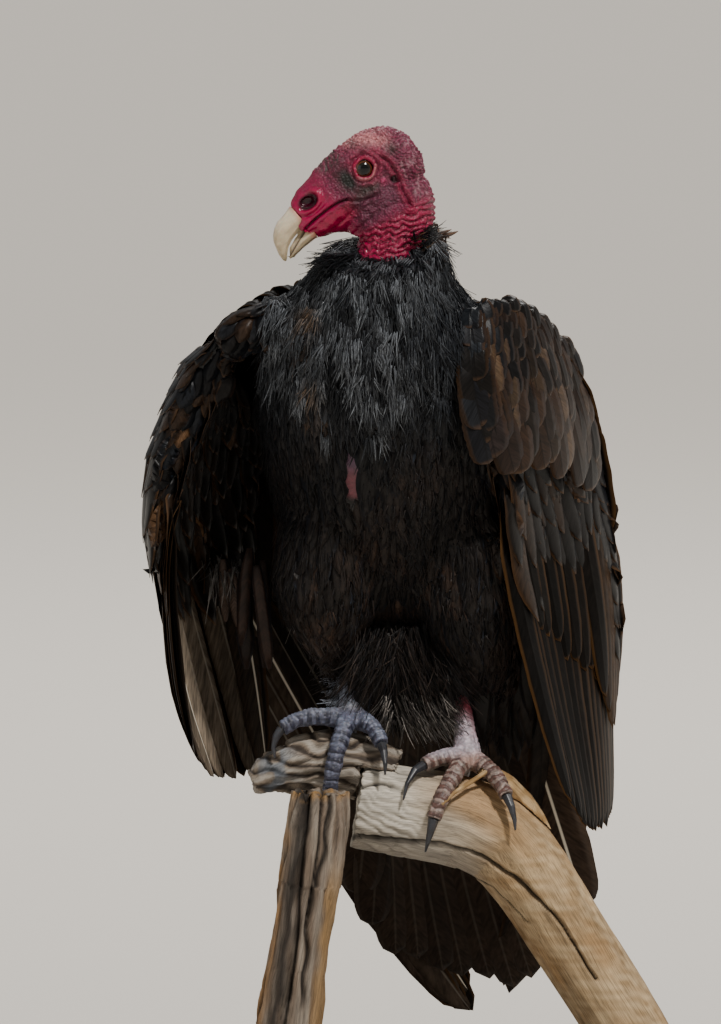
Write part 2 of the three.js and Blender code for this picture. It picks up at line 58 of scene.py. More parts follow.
def step(tree, kind, inputs=None, **settings):
    """Adds one node to a material; an input is a value or another node's output."""
    made = tree.nodes.new("ShaderNode" + kind)
    for key, value in settings.items():
        setattr(made, key, value)
    for key, value in (inputs or {}).items():
        if isinstance(value, bpy.types.NodeSocket):
            tree.links.new(value, made.inputs[key])
        else:
            made.inputs[key].default_value = value
    return made


def shades(tree, amount, *stops):
    """Colours from stops of (place, colour code) as amount goes from 0 to 1."""
    made = step(tree, "ValToRGB", {"Fac": amount})
    ramp = made.color_ramp
    while len(ramp.elements) < len(stops):
        ramp.elements.new(0.5)
    for element, (place, code) in zip(ramp.elements, stops):
        element.position = place
        element.color = paint(code) if isinstance(code, str) else (code, code, code, 1)
    return made.outputs["Color"]


def grain(tree, vector, scale, detail=4.0, roughness=0.55, stretch=(1, 1, 1)):
    """Fine noise, drawn out along one way by stretch."""
    moved = step(tree, "Mapping", {"Vector": vector, "Scale": stretch})
    made = step(
        tree,
        "TexNoise",
        {"Vector": moved.outputs[0], "Scale": scale, "Detail": detail, "Roughness": roughness},
    )
    return made.outputs["Fac"]


def blend_colour(tree, amount, a, b, mode="MIX"):
    """Colour b over colour a."""
    made = step(tree, "Mix", data_type="RGBA", blend_type=mode)
    for socket, value in ((0, amount), (6, a), (7, b)):
        if isinstance(value, bpy.types.NodeSocket):
            tree.links.new(value, made.inputs[socket])
        else:
            made.inputs[socket].default_value = value
    return made.outputs[2]


def finish_named(name, roughness, specular=0.5, **sockets):
    """A new material and its surface shader."""
    material = bpy.data.materials.new(name)
    material.use_nodes = True
    surface = material.node_tree.nodes["Principled BSDF"]
    surface.inputs["Roughness"].default_value = roughness
    surface.inputs["Specular IOR Level"].default_value = specular
    for key, value in sockets.items():
        surface.inputs[key.replace("_", " ")].default_value = value
    return material, material.node_tree, surface


def between(tree, value, low, high, start=0.0, end=1.0):
    """A value that runs from start to end, turned into one that runs from low to high."""
    run = {"Value": value, "From Min": start, "From Max": end, "To Min": low, "To Max": high}
    return step(tree, "MapRange", run).outputs[0]


def raised(tree, surface, height, strength, distance):
    """Fine relief from a height."""
    bump = step(tree, "Bump", {"Height": height, "Strength": strength, "Distance": distance})
    tree.links.new(bump.outputs[0], surface.inputs["Normal"])


def stained_board():
    material, tree, surface = finish_named("stained_board", 0.42, Coat_Weight=0.25, Coat_Roughness=0.25)
    place = step(tree, "TexCoord").outputs["Object"]
    figure = grain(tree, place, 9, 6, 0.6, stretch=(1.2, 14, 14))
    pores = grain(tree, place, 60, 3, 0.6, stretch=(1, 16, 16))
    colour = shades(tree, figure, (0.3, "#1c130d"), (0.5, "#332216"), (0.68, "#4a3222"))
    colour = blend_colour(tree, shades(tree, pores, (0.35, 0.6), (0.5, 0.0)), colour, paint("#0d0806"))
    tree.links.new(colour, surface.inputs["Base Color"])
    rough = between(tree, pores, 0.55, 0.34)
    tree.links.new(rough, surface.inputs["Roughness"])
    raised(tree, surface, pores, 0.25, 0.0004)
    return material


def drawn_steel():
    material, tree, surface = finish_named("drawn_steel", 0.32, Metallic=1.0)
    place = step(tree, "TexCoord").outputs["Object"]
    draw_lines = grain(tree, place, 500, 2, 0.5, stretch=(1, 1, 0.03))
    tone = shades(tree, draw_lines, (0.3, "#77787a"), (0.7, "#a3a4a6"))
    tree.links.new(tone, surface.inputs["Base Color"])
    rough = between(tree, draw_lines, 0.24, 0.42)
    tree.links.new(rough, surface.inputs["Roughness"])
    raised(tree, surface, draw_lines, 0.15, 0.0001)
    return material


for name, material in (
    ("stand_base", stained_board()),
    ("stand_rod_left", drawn_steel()),
    ("stand_rod_right", drawn_steel()),
):
    parts[name].data.materials.clear()
    parts[name].data.materials.append(material)

ROUNDED_EDGE = 2.5 * MM
board_edge = parts["stand_base"].modifiers.new("rounded_edge", "BEVEL")
board_edge.width = ROUNDED_EDGE
board_edge.segments = 3
board_edge.limit_method = "ANGLE"
board_edge.angle_limit = math.radians(50)

# ---------------------------------------------------------------- driftwood
# A bent trunk of driftwood, worn smooth and bleached where it lies open, meets a fluted grey stub and an
# upright post that broke off ragged. The wood's grain runs along each, with checks where it dried.


def points_of(node):
    """A solid's corners, in millimetres, and its triangles, with the corners at one place made one."""
    mesh = parts[node].data
    corners = np.empty(len(mesh.vertices) * 3)
    mesh.vertices.foreach_get("co", corners)
    corners = corners.reshape(-1, 3) / MM
    mesh.calc_loop_triangles()
    faces = np.empty(len(mesh.loop_triangles) * 3, dtype=np.int64)
    mesh.loop_triangles.foreach_get("vertices", faces)
    unique, index = np.unique(np.round(corners, 2), axis=0, return_inverse=True)
    faces = index.reshape(-1)[faces].reshape(-1, 3)
    whole = (faces[:, 0] != faces[:, 1]) & (faces[:, 1] != faces[:, 2]) & (faces[:, 2] != faces[:, 0])
    return unique, faces[whole]


def mesh_from(name, corners, faces, sides=3):
    """A new mesh of corners in millimetres and faces that all have as many sides."""
    mesh = bpy.data.meshes.new(name)
    mesh.vertices.add(len(corners))
    mesh.vertices.foreach_set("co", (np.asarray(corners) * MM).ravel())
    mesh.loops.add(len(faces) * sides)
    mesh.loops.foreach_set("vertex_index", np.asarray(faces, dtype=np.int32).ravel())
    mesh.polygons.add(len(faces))
    mesh.polygons.foreach_set("loop_start", np.arange(0, len(faces) * sides, sides, dtype=np.int32))
    mesh.polygons.foreach_set("loop_total", np.full(len(faces), sides, dtype=np.int32))
    mesh.polygons.foreach_set("use_smooth", np.ones(len(faces), dtype=bool))
    mesh.update(calc_edges=True)
    return mesh


def corner_normals(mesh):
    """The way that each corner of a mesh faces."""
    normals = np.empty(len(mesh.vertices) * 3)
    mesh.vertex_normals.foreach_get("vector", normals)
    return normals.reshape(-1, 3)


def places(mesh):
    """A mesh's corners, in millimetres."""
    corners = np.empty(len(mesh.vertices) * 3)
    mesh.vertices.foreach_get("co", corners)
    return corners.reshape(-1, 3) / MM


def put(mesh, corners):
    """Moves a mesh's corners to places in millimetres."""
    mesh.vertices.foreach_set("co", (corners * MM).ravel())
    mesh.update()


def joined(solids):
    """The corners and faces of several solids of (corners, faces), as one."""
    offset = np.cumsum([0] + [len(corners) for corners, _ in solids])
    faces = [faces + start for (_, faces), start in zip(solids, offset)]
    return np.concatenate([corners for corners, _ in solids]), np.concatenate(faces)


def evened(name, solids, voxel, rounds):
    """One even surface over solids of (corners, faces), smoothed so that no facet shows."""
    corners, faces = joined(solids)
    carrier = bpy.data.objects.new(name, mesh_from(name + "_rough", corners, faces))
    scene.collection.objects.link(carrier)
    remesh = carrier.modifiers.new("even", "REMESH")
    remesh.mode = "VOXEL"
    remesh.voxel_size = voxel * MM
    soften = carrier.modifiers.new("soften", "SMOOTH")
    soften.factor = 0.5
    soften.iterations = rounds
    depsgraph = bpy.context.evaluated_depsgraph_get()
    mesh = bpy.data.meshes.new_from_object(carrier.evaluated_get(depsgraph))
    mesh.name = name
    bpy.data.objects.remove(carrier)
    mesh.polygons.foreach_set("use_smooth", np.ones(len(mesh.polygons), dtype=bool))
    return mesh


def piece(name, mesh, material, slot, *replaced):
    """Puts a finished mesh in the scene, in place of the solids that it stands for."""
    made = bpy.data.objects.new(name, mesh)
    scene.collection.objects.link(made)
    mesh.materials.append(material)
    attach(made, "root")
    if replaced:
        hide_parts(*replaced)
    return made


def waves(spots, length, seed, count=14):
    """Soft noise from -1 to 1 or so, made of crossing waves about length millimetres long."""
    draw = np.random.default_rng(seed)
    heading = draw.normal(size=(count, 3))
    heading /= np.linalg.norm(heading, axis=1)[:, None]
    heading *= (2 * math.pi / length) * draw.uniform(0.6, 1.5, (count, 1))
    phase = draw.uniform(0, 2 * math.pi, count)
    return np.sin(spots @ heading.T + phase).sum(1) / math.sqrt(count)


def along_line(corners, line):
    """How far each corner lies along a line of points, and its angle round it from the top."""
    line = np.asarray(line, float)
    run = np.diff(line, axis=0)
    lengths = np.linalg.norm(run, axis=1)
    start = np.concatenate([[0], np.cumsum(lengths)])
    best = np.full(len(corners), 1e9)
    distance = np.zeros(len(corners))
    angle = np.zeros(len(corners))
    for k, (a, d, size) in enumerate(zip(line[:-1], run, lengths)):
        heading = d / size
        out = corners - a
        s = np.clip(out @ heading, -20 if k == 0 else 0, size + (20 if k == len(run) - 1 else 0))
        off = out - s[:, None] * heading
        far = np.linalg.norm(off, axis=1)
        side = np.cross(heading, (0, 0, 1.0))
        side = side / np.linalg.norm(side) if np.linalg.norm(side) > 0.05 else np.array([0, 1.0, 0])
        up = np.cross(side, heading)
        nearer = far < best
        best[nearer] = far[nearer]
        distance[nearer] = (start[k] + s)[nearer]
        angle[nearer] = np.arctan2(off @ side, off @ up)[nearer]
    return distance, angle, best


def store(mesh, name, values, kind="FLOAT_VECTOR"):
    """Keeps a value at each corner for the material to read."""
    layer = mesh.attributes.new(name, kind, "POINT")
    key = {"FLOAT": "value", "FLOAT_VECTOR": "vector", "FLOAT_COLOR": "color"}[kind]
    layer.data.foreach_set(key, np.asarray(values, dtype=np.float32).ravel())


def store_tint(mesh, tint):
    """Keeps a colour at each corner for the material to read."""
    store(mesh, "tint", np.concatenate([tint, np.ones((len(tint), 1))], 1), "FLOAT_COLOR")


def rise(a, b, x):
    """A soft step from 0 at a to 1 at b."""
    x = np.clip((x - a) / (b - a), 0, 1)
    return x * x * (3 - 2 * x)


def bump_at(x, centre, width):
    """A soft hump of height 1 round a centre."""
    return np.exp(-(((x - centre) / width) ** 2))


def to_line(u, v, line):
    """Distance from each place to a line of points in a plane, and how far along it, from 0 to 1."""
    line = np.asarray(line, float)
    run = np.linalg.norm(np.diff(line, axis=0), axis=1)
    start = np.concatenate([[0], np.cumsum(run)])
    best = np.full(u.shape, 1e9)
    share = np.zeros(u.shape)
    for k, (a, b) in enumerate(zip(line[:-1], line[1:])):
        d = (b - a) / run[k]
        s = np.clip((u - a[0]) * d[0] + (v - a[1]) * d[1], 0, run[k])
        far = np.hypot(u - a[0] - s * d[0], v - a[1] - s * d[1])
        nearer = far < best
        best[nearer] = far[nearer]
        share[nearer] = ((start[k] + s) / start[-1])[nearer]
    return best, share


def hue(code):
    """The linear colour of a #rrggbb code, as an array."""
    return np.array(paint(code)[:3])


def over(base, code, amount):
    """Colours with one more laid over them, by an amount at each corner."""
    return base + (hue(code) - base) * np.clip(amount, 0, 1)[:, None]


def coated(tint, *coats):
    """Colours under coats of (colour, amount)."""
    for code, amount in coats:
        tint = over(tint, code, amount)
    return tint


def dyed(base, count, *coats):
    """A base colour for count corners, under coats of (colour, amount)."""
    return coated(np.tile(hue(base), (count, 1)), *coats)


# No line of this model's tubes runs this way, so that it can serve to square their rings.
TUBE_SIDE = (0.31, 0.9, 0.29)


def tube(line, radii, around):
    """A closed round tube of (corners, faces) through a line of points."""
    line = np.asarray(line, float)
    turn = np.linspace(0, 2 * math.pi, around, endpoint=False)
    rings = []
    for k, middle in enumerate(line):
        heading = line[min(k + 1, len(line) - 1)] - line[max(k - 1, 0)]
        side = np.cross(heading, TUBE_SIDE)
        side /= np.linalg.norm(side)
        up = np.cross(side, heading / np.linalg.norm(heading))
        rings.append(middle + radii[k] * (np.outer(np.cos(turn), side) + np.outer(np.sin(turn), up)))
    k = np.arange(around)
    j = (k + 1) % around
    last = len(line) * around
    faces = []
    for n in range(len(line) - 1):
        a, b = n * around, (n + 1) * around
        faces += [np.stack([a + k, a + j, b + j], 1), np.stack([a + k, b + j, b + k], 1)]
    faces += [np.stack([j, k, np.full(around, last)], 1)]
    faces += [np.stack([last - around + k, last - around + j, np.full(around, last + 1)], 1)]
    return np.concatenate([*rings, line[:1], line[-1:]]), np.concatenate(faces)


def kept(tree, name, output):
    """A value that the mesh keeps at its corners."""
    return step(tree, "Attribute", attribute_name=name).outputs[output]


def shaded(tree, colour, amount, value, *stops):
    """A colour made lighter and darker by the shades of a value."""
    return blend_colour(tree, amount, colour, shades(tree, value, *stops), "MULTIPLY")


def weathered_wood(name, crack):
    """Driftwood: grain drawn out along the fibres, fine splits in it and dark checks, whose darkness is
    painted shade.
    """
    material, tree, surface = finish_named(name, 0.74, 0.3)
    fibres = kept(tree, "fibre", "Vector")
    tint = kept(tree, "tint", "Color")
    broad = grain(tree, fibres, 0.09, 5, 0.6, stretch=(0.3, 1, 1))
    fine = grain(tree, fibres, 1.5, 5, 0.65, stretch=(0.03, 1, 1))
    hair = grain(tree, fibres, 4.5, 3, 0.6, stretch=(0.02, 1, 1))
    colour = shaded(tree, tint, 0.8, broad, (0.3, 0.62), (0.5, 1.0), (0.7, 1.25))
    colour = shaded(tree, colour, 0.8, fine, (0.36, 0.5), (0.5, 1.0), (0.7, 1.25))
    colour = shaded(tree, colour, 0.6, hair, (0.38, 0.6), (0.55, 1.08))
    # Over the wood's own darker streaks, painted shade darkens its checks, cracks and grooves.
    colour = blend_colour(tree, kept(tree, "worn", "Fac"), colour, paint(crack))
    tree.links.new(colour, surface.inputs["Base Color"])
    raised(tree, surface, fine, 0.55, 0.0005)
    return material


CHECK_END = 12.0
GRAIN_DRAW = 0.12


def wooden(name, solid, line, voxel, flutes, depth, seed, dye, material, checks=(), cracks=(), node=None):
    """Driftwood over one solid, along a line. Flutes so wide and deep run round it."""
    mesh = evened(name, [solid], voxel, 3)
    corners = places(mesh)
    normals = corner_normals(mesh)
    s, angle, radius = along_line(corners, line)
    fluted = np.stack([s * GRAIN_DRAW, np.cos(angle) * radius, np.sin(angle) * radius], 1)
    relief = depth * waves(fluted, flutes, seed) + 0.35 * depth * waves(fluted, flutes * 0.35, seed + 1)
    # Random darker streaks are the wood's own colour; the checks, cracks and deepest cuts below are painted
    # near-black too, as painted shade in their grooves.
    dark = np.clip(-waves(fluted, flutes * 0.6, seed + 2) - 1.1, 0, 1) * 0.4
    for bearing, start, end, width, cut in checks:
        sway = 0.12 * np.sin(s * 0.06 + seed) + 0.05 * np.sin(s * 0.21)
        off = np.abs((angle - bearing - sway + math.pi) % (2 * math.pi) - math.pi) * radius
        reach = np.clip((s - start) / CHECK_END, 0, 1) * np.clip((end - s) / CHECK_END, 0, 1)
        groove = np.exp(-((off / width) ** 2)) * reach
        relief -= cut * groove
        dark = np.maximum(dark, groove**0.7 * 0.95)
    for path, width, cut in cracks:
        wandering = corners[:, 2] + 0.5 * waves(corners, 12, seed + 3)
        off, at = to_line(corners[:, 0], wandering, path)
        groove = bump_at(off, 0, width * (1 - 0.5 * at)) * rise(4, -4, corners[:, 1])
        relief -= cut * groove
        dark = np.maximum(dark, groove**0.7 * 0.97)
    tint, ridge = dye(corners, s, angle)
    # The relief only cuts in, so that the wood stays inside its solid.
    relief -= 1.1 * depth + ridge
    put(mesh, corners + normals * np.minimum(relief, 0)[:, None])
    store(mesh, "fibre", np.stack([s, angle * radius, radius], 1))
    # This mark holds the darker streaks and the painted shade of the checks, cracks and deepest cuts.
    store(mesh, "worn", np.maximum(dark, np.clip(ridge - 0.5, 0, 1) * 0.5), "FLOAT")
    store_tint(mesh, tint)
    return piece(name, mesh, material, "driftwood", *([node] if node else []))


sun_bleached = weathered_wood("sun_bleached_driftwood", "#140d09")
dark_driftwood = weathered_wood("dark_driftwood", "#0d0907")

# The branch bends over and down to the right. One long crack runs its length under the feet.

BRANCH_LINE = [(-30, 0, 208), (12, 0, 203), (42, 0, 197), (66, 0, 185), (85, 0, 163), (101, 0, 138)]
BRANCH_LINE += [(119, 0, 109), (136, 0, 82), (156, 0, 50)]
LONG_CRACK = [(-24, 190), (30, 185.5), (54, 179.5), (78, 164), (102, 140), (124, 104)]
LOW_CRACK = [(40, 168), (62, 158), (84, 138)]
RIDGE_STEP = 5.0


def branch_dye(corners, s, angle):
    """Tan, bleached almost white towards the broken end, with small slanting ridges across that end and
    painted shade underneath.
    """
    x, y, z = corners.T
    cloud = waves(corners, 40, 11)
    streak = waves(np.stack([s * 0.15, z, y], 1), 7, 12)
    over_middle = z - np.interp(x, [-30, 42, 85], [212, 201, 170])
    tint = dyed(
        "#9a7f5c",
        len(x),
        ("#b9a07c", 0.5 + 0.4 * streak),
        ("#cbc5b8", rise(100, 45, s + 14 * cloud) * 0.85),
        ("#a5825a", bump_at(s, 78, 26) * rise(-4, 12, over_middle) * 0.85),
        ("#8a6438", np.clip(cloud, 0, 1) * rise(80, 120, s) * 0.6),
        # Greyer and darker underneath: painted shade on the branch's underside.
        ("#8b8176", rise(0.2, -0.8, np.cos(angle)) * rise(120, 80, s) * 0.45),
    )
    slanting = z * 0.95 + x * 0.5 + 1.6 * waves(corners, 14, 13)
    ridge = (0.5 + 0.5 * np.sin(slanting * 2 * math.pi / RIDGE_STEP)) ** 2
    return tint, 1.1 * (ridge * rise(30, 4, x) * rise(0, -9, y))


wooden(
    "driftwood_branch",
    points_of("perch_branch"),
    BRANCH_LINE,
    voxel=1.2,
    flutes=16,
    depth=0.5,
    seed=3,
    dye=branch_dye,
    material=sun_bleached,
    checks=[(0.5, -10, 60, 0.8, 1.6), (1.0, -20, 40, 1.0, 2.0)],
    cracks=[(LONG_CRACK, 1.5, 4.0), (LOW_CRACK, 0.6, 0.8)],
    node="perch_branch",
)

# The stub under the right foot is a grey layered piece, deeply fluted.

STUB_LINE = [(10, 6, 222), (-22, 6, 231), (-48, 5, 231), (-90, 3, 220)]
LAYER_STEP = 8.5


def stub_dye(corners, s, angle):
    """Layers of grey-brown, paler where they are worn and darker where they are cut in, which is painted
    shade; a blue-grey patch round x = -70 mm is painted shade too.
    """
    x, y, z = corners.T
    layer = np.sin((z + 0.12 * x + 2.2 * waves(corners, 20, 14)) * 2 * math.pi / LAYER_STEP)
    tint = dyed(
        "#7b6e60",
        len(x),
        ("#9d9488", rise(0, 1, layer)),
        # The layers cut in deepest are painted darker: painted shade in the recesses.
        ("#3a3029", rise(-0.3, -1, layer) * 0.85),
        # Blue-grey round x = -70 mm: painted shade.
        ("#6b737c", bump_at(x, -70, 12) * rise(-0.2, 0.6, waves(corners, 16, 15)) * 0.8),
    )
    return tint, 1.4 * rise(-0.2, -1, layer)


wooden(
    "driftwood_stub",
    points_of("perch_stub"),
    STUB_LINE,
    voxel=1.1,
    flutes=7,
    depth=1.2,
    seed=8,
    dye=stub_dye,
    material=dark_driftwood,
    checks=[(0.2, -10, 100, 1.2, 2.6), (1.0, -10, 100, 1.0, 2.6), (1.8, 0, 90, 1.2, 2.6)],
    node="perch_stub",
)

# The post stands upright below the stub. It is split along its length, and a strip of it is charred.

POST_LINE = [(-63, -40, 60), (-56, -41, 115), (-48, -42, 165), (-42, -42, 230)]
POST_CRACKS = [
    ([(-50, 226), (-53, 180), (-58, 120), (-66, 60)], 1.5, 4.0),
    ([(-40, 226), (-43, 190), (-50, 140)], 1.0, 3.0),
]


def post_dye(corners, s, angle):
    """A charred band between grey-brown and tan strips, and torn tan fibres at the top."""
    x, y, z = corners.T
    across = x + 0.12 * (200 - z) + 1.2 * waves(corners, 26, 16)
    strips = waves(np.stack([s * 0.1, x, y], 1), 6, 17)
    tint = dyed(
        "#6f6052",
        len(x),
        ("#8d8275", 0.5 + 0.5 * strips),
        ("#a1794c", rise(-60, -66, across) * 0.85),
        ("#1d1713", bump_at(across, -55, 4.5) * 0.9),
        ("#94754c", rise(-36, -30, across) * rise(190, 150, z) * 0.85),
        ("#a17c4c", rise(214, 222, z) * rise(-0.2, 0.6, waves(corners, 9, 18)) * 0.9),
    )
    return tint, 1.2 * bump_at(across, -50, 1.4)


wooden(
    "driftwood_post",
    points_of("perch_post"),
    POST_LINE,
    voxel=1.1,
    flutes=9,
    depth=1.1,
    seed=5,
    dye=post_dye,
    material=dark_driftwood,
    checks=[(1.9, 30, 175, 1.3, 3.0), (-2.4, 0, 160, 1.4, 3.0), (0.3, 0, 175, 1.2, 2.4)],
    cracks=POST_CRACKS,
    node="perch_post",
)

# A splinter lifts off the branch beside the left foot, and a thin twig runs from it across the toes.

SPLINTER_LINE = [(54, -10, 230), (68, -5, 224), (84, 0, 206), (96, 2, 186)]
TWIG_LINE = [(31, -36, 212), (38, -29, 218), (47, -22, 223), (58, -14, 229)]
TWIG_RADII = [0.9, 1.3, 1.5, 1.7]


def splinter_dye(corners, s, angle):
    """Plain tan wood, with no ridges."""
    return dyed("#94744a", len(s), ("#bfa177", 0.5 + 0.5 * waves(corners, 9, 19))), 0 * s


wooden(
    "driftwood_splinter",
    points_of("perch_splinter"),
    SPLINTER_LINE,
    voxel=0.8,
    flutes=5,
    depth=0.3,
    seed=6,
    dye=splinter_dye,
    material=sun_bleached,
    checks=[(0.0, 0, 60, 0.6, 0.8)],
    node="perch_splinter",
)
wooden(
    "driftwood_twig",
    tube(TWIG_LINE, TWIG_RADII, 10),
    TWIG_LINE,
    voxel=0.35,
    flutes=3,
    depth=0.08,
    seed=7,
    dye=splinter_dye,
    material=sun_bleached,
)

# ---------------------------------------------------------------- bare head and neck
# The head and upper neck are bare skin: smooth and wet-looking round the nostrils, wrinkled and warty behind
# the eyes, and laid in thick wavy folds above the ruff. One skin covers skull and neck with no seam.

HEAD_PLACE = np.array([-17.5, -43.0, 595.0])
HEAD_PITCH = math.radians(38)
HEAD_TURN = math.radians(8)
level = np.array([-math.cos(HEAD_TURN), -math.sin(HEAD_TURN), 0])
upright = np.array([0, 0, 1.0])
ahead = math.cos(HEAD_PITCH) * level - math.sin(HEAD_PITCH) * upright
above = math.sin(HEAD_PITCH) * level + math.cos(HEAD_PITCH) * upright
aside = np.cross(above, ahead)
LID = 5.0


def in_head(corners):
    """Places as (forward, up, left) of the point midway between the eyes."""
    return (corners - HEAD_PLACE) @ np.stack([ahead, above, aside], 1)


def from_head(u, v, w):
    """The places so far forward, up and left of the point midway between the eyes."""
    times = np.multiply.outer
    return HEAD_PLACE + times(u, ahead) + times(v, above) + times(w, aside)


MOUTH = [(50, -7.6), (45.9, -7.1), (39.9, -6.4), (31.3, -6.2), (24.7, -6.7), (18.4, -8.6)]
JAW_FOLD = [(19.5, -8.4), (14, -13.5), (5.6, -16.5), (-3, -17.5)]
CHEEK_FOLD = [(-11, 3), (-13.4, -6), (-12.6, -15), (-9.4, -24), (-8, -34)]
BROW = [(19, 6.5), (13, 9.4), (5, 11.0), (-4, 10.4), (-11, 6.0), (-13.5, 0)]
THROAT_FOLD = [(33, -29), (22, -26), (10, -25), (0, -27), (-8, -32)]
NOSTRIL = (38.5, 4.6)
EAR = (-9.9, -16.0)
WART = (-4.2, -12.4)
SEPTUM_SIZE = (7, 5)
SEPTUM_FACES = (-3.2, 3.2)
SEPTUM_SIDES = 24


def septum():
    """A thin oval wall across the middle of the nostrils."""
    sides = SEPTUM_SIDES
    turn = np.linspace(0, 2 * math.pi, sides, endpoint=False)
    u = NOSTRIL[0] + SEPTUM_SIZE[0] * np.cos(turn)
    v = NOSTRIL[1] + SEPTUM_SIZE[1] * np.sin(turn)
    rims = [from_head(u, v, np.full(sides, w)) for w in SEPTUM_FACES]
    middles = [from_head(*NOSTRIL, w)[None] for w in SEPTUM_FACES]
    k = np.arange(sides)
    j = (k + 1) % sides
    middle = np.full(sides, 2 * sides)
    walls = [np.stack([k, j, j + sides], 1), np.stack([k, j + sides, k + sides], 1)]
    ends = [np.stack([j, k, middle], 1), np.stack([k + sides, j + sides, middle + 1], 1)]
    return np.concatenate(rims + middles), np.concatenate(walls + ends)


lower_neck = [from_head(6.0, -31.0, 0.0), from_head(8.5, -44.0, 0.0), np.array([-5.0, -47.0, 520.0])]
flesh = [points_of(node) for node in ("head", "neck", "eye_left", "eye_right")]
flesh += [septum(), tube(lower_neck, [17.5, 20.0, 22.0], 24)]
head_mesh = evened("head_skin", flesh, 0.6, 14)
corners = places(head_mesh)
normals = corner_normals(head_mesh)
u, v, w = in_head(corners).T
side = np.abs(w)
flank = rise(0.25, 0.8, np.abs(normals @ aside))
flank_wide = rise(5.0, 9.0, side)

eye_turn = np.arctan2(v, u)
eye_off = np.hypot(u, v * 1.1) * (1 + 0.05 * np.sin(2 * eye_turn + 0.8) + 0.03 * np.sin(5 * eye_turn))
mouth_off, mouth_at = to_line(u, v, MOUTH)
jaw_off, jaw_at = to_line(u, v, JAW_FOLD)
cheek_off, cheek_at = to_line(u, v, CHEEK_FOLD)
brow_off, brow_at = to_line(u, v, BROW)
throat_off = to_line(u, v, THROAT_FOLD)[0]
nostril_off = np.hypot((u - NOSTRIL[0]) / 1.45, v - NOSTRIL[1])
ear_off = np.hypot(u - EAR[0], (v - EAR[1]) * 0.8)
wart_off = np.hypot(u - WART[0], v - WART[1])
spots = np.stack([u, v, w], 1)

height = -math.sin(HEAD_PITCH) * u + math.cos(HEAD_PITCH) * v
back = -math.cos(HEAD_PITCH) * u - math.sin(HEAD_PITCH) * v

# How far behind the eyes, how high on the crown, and how far down the neck.
behind = rise(-4, -14, u) * rise(-34, -26, v)
crown = rise(8, 15, v + 0.12 * np.abs(u)) * rise(30, 18, u)
down_neck = rise(3, -3, height + 38 - 0.55 * back) * rise(34, 27, u)

lift = np.zeros(len(u))
# The eye's opening, its two lids and the groove round them.
lift += flank * (-4.6 * rise(LID + 0.5, LID - 0.5, eye_off))
beads = 0.28 * np.sin(eye_turn * 19 + 2 * np.sin(eye_turn * 3)) * rise(0.5, -0.3, np.sin(eye_turn))
lift += flank * (1.25 + beads) * bump_at(eye_off, LID + 1.35, 0.95)
lift += flank * (-0.75) * bump_at(eye_off, LID + 3.3, 0.8)
ring_waves = 0.2 * np.sin(eye_turn * 11 + 1.3 * np.sin(4 * eye_turn))
lift += flank * (0.55 + ring_waves) * bump_at(eye_off, LID + 5.0, 1.0)
lift += flank * (-0.3) * bump_at(eye_off, LID + 6.8, 0.7)
# The brow over it, and the flat lores before it.
lift += flank_wide * 1.7 * bump_at(brow_off, 0, 2.6) * rise(0, 0.18, brow_at) * rise(1.0, 0.7, brow_at)
lift += flank * (-1.3) * bump_at(u, 15, 5.5) * bump_at(v, 0.5, 5.5)
# The nostril's thick rim, open in front of the hole.
lift += flank_wide * (-1.9) * rise(5.4, 3.6, nostril_off)
lift += flank_wide * (1.0 + 0.3 * np.sin(5 * u)) * bump_at(nostril_off, 5.6, 1.0)
lift += flank_wide * (-1.0) * bump_at(nostril_off, 7.7, 1.1)
lift += flank_wide * 0.8 * bump_at(u, 30, 4) * bump_at(v, 4, 5)
# The gape, with the lower jaw's thick edge below it and the fold that runs on from its corner.
open_mouth = rise(1.0, 0.92, mouth_at) * flank_wide
lift += -2.2 * bump_at(mouth_off, 0, 0.62) * open_mouth
lift += 0.7 * bump_at(mouth_off, 2.0, 1.2) * open_mouth
jaw_edge = v + 0.16 * (u - 30)
below_mouth = rise(-8.5, -10.5, v) * rise(-21, -18, v) * rise(12, 20, u)
lift += flank_wide * 0.9 * bump_at(jaw_edge, -13.0, 3.0) * rise(14, 24, u)
lift += flank_wide * (-0.8) * bump_at(jaw_edge, -17.6, 1.0) * rise(12, 22, u)
lift += flank_wide * (-1.3) * bump_at(jaw_off, 0, 0.8) * rise(1, 0.6, jaw_at)
lift += flank_wide * 0.8 * bump_at(jaw_off, 2.2, 1.3) * rise(1, 0.6, jaw_at)
# The fold behind the ear, the ear's opening and the wart before it.
lift += flank_wide * (-1.5) * bump_at(cheek_off, 0, 0.9) * rise(0, 0.12, cheek_at)
lift += flank_wide * 1.3 * bump_at(cheek_off, 2.3, 1.3) * rise(0, 0.12, cheek_at)
lift += flank_wide * (-2.2) * rise(2.6, 1.2, ear_off)
lift += flank_wide * 0.9 * bump_at(ear_off, 3.6, 1.0)
lift += flank_wide * 1.5 * bump_at(wart_off, 0, 1.9)
lift += flank_wide * (-0.9) * bump_at(throat_off, 0, 1.0)
